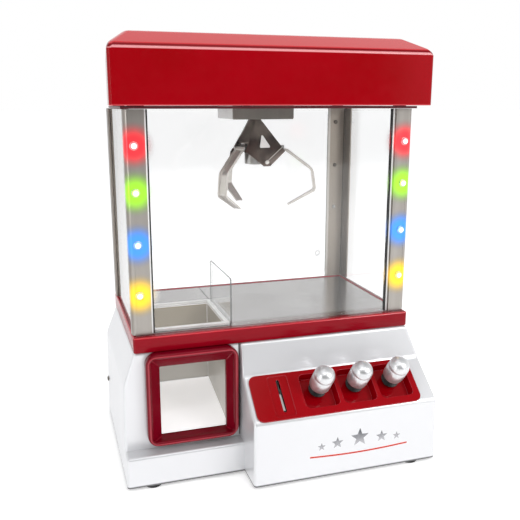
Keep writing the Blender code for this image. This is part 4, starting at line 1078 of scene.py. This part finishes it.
def front_print():
    """Plain row of stars over a red stripe, printed on the front of the control housing."""
    face = at(0, -45.3, 0).y
    bm = bmesh.new()
    for x, z, radius in ((24, 29.5, 3.6), (38, 31, 5.4), (58, 33, 8.4), (78, 31, 5.4), (92, 29.5, 3.6)):
        star(bm, Vector((x * MM, face, z * MM)), radius * MM, 0.12 * MM)
    stars = mesh_object("print_stars", bm, smooth=False)
    foil = printed("foil", (0.5, 0.5, 0.52), (0.06, 0.065, 0.075), 25 * MM, 40 * MM)
    dressed(stars, foil, "base_shell", slot="hood_metal")
    loops = []
    for lift, z_low, z_high in ((0.0, -0.7, 0.7), (0.12, -0.6, 0.6)):
        bow = []
        for i in range(25):
            bow.append((14 + 88 * i / 24, 21.5 - 1.6 * math.cos(math.pi * (i / 24 - 0.5))))
        edge = [Vector((x * MM, face - lift * MM, (z + z_low) * MM)) for x, z in bow]
        edge += [Vector((x * MM, face - lift * MM, (z + z_high) * MM)) for x, z in reversed(bow)]
        loops.append(edge)
    stripe = lofted("print_stripe", loops, smooth=False)
    ink = printed("print_red", (0.5, 0.03, 0.015), (0.62, 0.06, 0.03), 19 * MM, 23 * MM)
    dressed(stripe, ink, "base_shell", slot="dark_red")


def finish_controls():
    panel = refined("control_panel", (red_gloss(), painted_highlight_red("well_edge", (0.5, 0.07, 0.09))), 0.0005, 3, 40)
    # Painted highlight: the rounded edges of the wells and the panel take the brighter red.
    for face in panel.data.polygons:
        if 0.35 < face.normal.dot(PANEL_NORMAL) < 0.93:
            face.material_index = 1
    paint_node("joystick_bracket", moulded("black_bracket", (0.02, 0.02, 0.022), 0.45))
    paint_node("coin_guide", moulded("white_guide", (0.72, 0.72, 0.69), 0.45))
    refined("coin_lever", plain_steel(), 0.0002, 2, 28)
    for stick in ("left", "middle", "right"):
        # Partly painted shade: the lever discs are near-black for the dark hole under each knob.
        paint_node("lever_" + stick, moulded("black_disc", (0.006, 0.006, 0.006), 0.5))
        knob(stick)
        boot(stick)
    front_print()


# ---------------------------------------------------------------- claw

def claw_point(radius, angle, z):
    turn = math.radians(angle)
    return CLAW_CENTRE + Vector((radius * math.cos(turn), radius * math.sin(turn), z)) * MM


def claw_direction(angle, rise=0.0):
    return claw_point(1, angle, rise) - claw_point(0, 0, 0)


def hood():
    """Dark cap with a folded band, a plain white mark and a rivet on each of its three faces."""
    refined("claw_hood", dark_nickel(), 0.35 * MM, 2, 35)
    for i, angle in enumerate(HOOD_FACES):
        hood_band(i, angle)
        hood_mark(i, angle)
        hood_rivet(i, angle)


def plate(bm, outline, outward, low, high, shrink=0.3):
    """Thin raised plate from points on a face; its top is a little smaller than its foot."""
    middle = sum(outline, Vector()) / len(outline)
    top = [point + (middle - point).normalized() * shrink * MM + outward * high * MM for point in outline]
    loft(bm, [[point + outward * low * MM for point in outline], top])


def hood_band(index, angle):
    """Band folded over the right-hand lower edge of a hood face."""
    low_corner, top_corner = claw_point(22.4, angle + 8, 250.6), claw_point(27.3, angle + 43, 262)
    edge = (top_corner - low_corner).normalized()
    apex = claw_point(5.5, angle, 288.7) - low_corner
    inward = (apex - apex.dot(edge) * edge).normalized()
    outward = inward.cross(edge)
    if outward.dot(claw_direction(angle)) < 0:
        outward = -outward
    outline = [low_corner, top_corner, top_corner + 4.2 * MM * inward, low_corner + 4.6 * MM * inward]
    bm = bmesh.new()
    plate(bm, outline, outward, -0.3, 0.75)
    band = bevelled(mesh_object(f"hood_band_{index}", bm), 0.22 * MM, 2, 30)
    dressed(band, dark_nickel(), "claw_hood")
    bm = bmesh.new()
    lift = 0.6 * MM * outward
    rod(bm, outline[3] + lift, outline[2] + lift, 0.32)
    dressed(mesh_object(f"hood_fold_{index}", bm), polished_steel(), "claw_hood", slot="steel")


def hood_mark(index, angle):
    """Plain white triangle in the middle of a hood face."""
    foot, apex = claw_point(27.5 * math.cos(math.radians(43)), angle, 262), claw_point(5.5, angle, 288.7)
    up = (apex - foot).normalized()
    across = claw_direction(angle + 90)
    outward = across.cross(up).normalized()
    triangle = ((-4.6, 4), (4.6, 4), (5.0, 5), (0.6, 15.5), (-0.6, 15.5), (-5.0, 5))
    outline = [foot + u * across + v * MM * up for u, v in triangle]
    bm = bmesh.new()
    plate(bm, outline, outward, -0.2, 0.25, 0.1)
    mark = mesh_object(f"hood_mark_{index}", bm, smooth=False)
    dressed(mark, moulded("mark_white", (0.85, 0.84, 0.82), 0.3), "claw_hood", slot="white_plastic")


def hood_rivet(index, angle):
    """Bright rivet through the bottom corner of a hood face."""
    base = claw_point(21.4, angle, 253.2)
    outward = claw_direction(angle, -0.75).normalized()
    profile = [(1.9, -0.8), (1.9, 0.3), (1.75, 0.7), (1.3, 1.05), (0.6, 1.2)]
    rivet = turned_piece(f"hood_rivet_{index}", profile, base, outward, 28, sharp=60)
    dressed(rivet, moulded("rivet_white", (0.75, 0.73, 0.69), 0.3), "claw_hood", slot="white_plastic")


def filleted(points, radius, steps):
    """A path through points with each inner corner turned into a short curve."""
    path = [Vector(points[0])]
    for before, corner, after in zip(points, points[1:], points[2:]):
        before, corner, after = Vector(before), Vector(corner), Vector(after)
        start = corner + (before - corner).normalized() * radius
        end = corner + (after - corner).normalized() * radius
        for i in range(steps + 1):
            t = i / steps
            path.append(start.lerp(corner, t).lerp(corner.lerp(end, t), t))
    path.append(Vector(points[-1]))
    return path


def finger(name, angle):
    """Stamped channel strip: knuckle, long arm, drop and inward tip, with turned-out side flanges."""
    corner_points = ((25.2, 263.4), (28.5, 261.3), (49.5, 245.6), (52.0, 228.5), (29.0, 215.0))
    path = filleted(corner_points, 2.2, 5)
    across = claw_direction(angle + 90)
    loops = []
    for i, (radius, z) in enumerate(path):
        before, after = path[max(i - 1, 0)], path[min(i + 1, len(path) - 1)]
        along = (after - before).normalized()
        out = Vector((-along.y, along.x))
        flange = 1.9 * min(1.0, (len(path) - 1 - i) / 2 + 0.35, i / 3 + 0.3)
        half = 4.0 if i < len(path) - 1 else 3.3
        section = ((-half, -0.55), (half, -0.55), (half, flange), (half - 0.9, flange), (half - 0.9, 0.35),
                   (0.9 - half, 0.35), (0.9 - half, flange), (-half, flange))
        loops.append([claw_point(radius + v * out.x, angle, z + v * out.y) + u * across for u, v in section])
    node, joint = "finger_" + name, f"finger_{name}_swing"
    piece = bevelled(lofted(node + "_finish", loops), 0.18 * MM, 2, 50)
    dressed(piece, polished_steel(), node, node)
    pin, axis = pivot_of(joint), axis_of(joint)
    knuckle = turned_piece(f"knuckle_{name}", [(2.2, -4), (2.2, 4)], pin, axis, 28)
    bore = bmesh.new()
    turned(bore, [(1.2, -6), (1.2, 6)], pin, axis, 20)
    cut(knuckle, bore)
    dressed(bevelled(knuckle, 0.25 * MM, 2, 50), polished_steel(), node)


def finish_claw():
    hood()
    refined("claw_hub", plain_steel(), 0.0003)
    for name, angle in FINGER_ANGLES.items():
        finger(name, angle)


SLOPE_UP = axis_of("stick_left_tilt")
PANEL_NORMAL = Vector((1, 0, 0)).cross(SLOPE_UP)
PIVOTS = {name: pivot_of(f"finger_{name}_swing") for name in ("right", "rear", "left")}
CLAW_CENTRE = sum(PIVOTS.values(), Vector()) / 3
CLAW_CENTRE.z = 0
FINGER_ANGLES = {name: math.degrees(math.atan2(place.y - CLAW_CENTRE.y, place.x - CLAW_CENTRE.x))
                 for name, place in PIVOTS.items()}
HOOD_FACES = [angle + 60 for angle in FINGER_ANGLES.values()]


def build_model():
    finish_base()
    painted_step_shade()
    finish_cabinet()
    finish_leds()
    finish_roof()
    finish_controls()
    finish_claw()


build_camera()
build_world()
build_stage()
build_model()
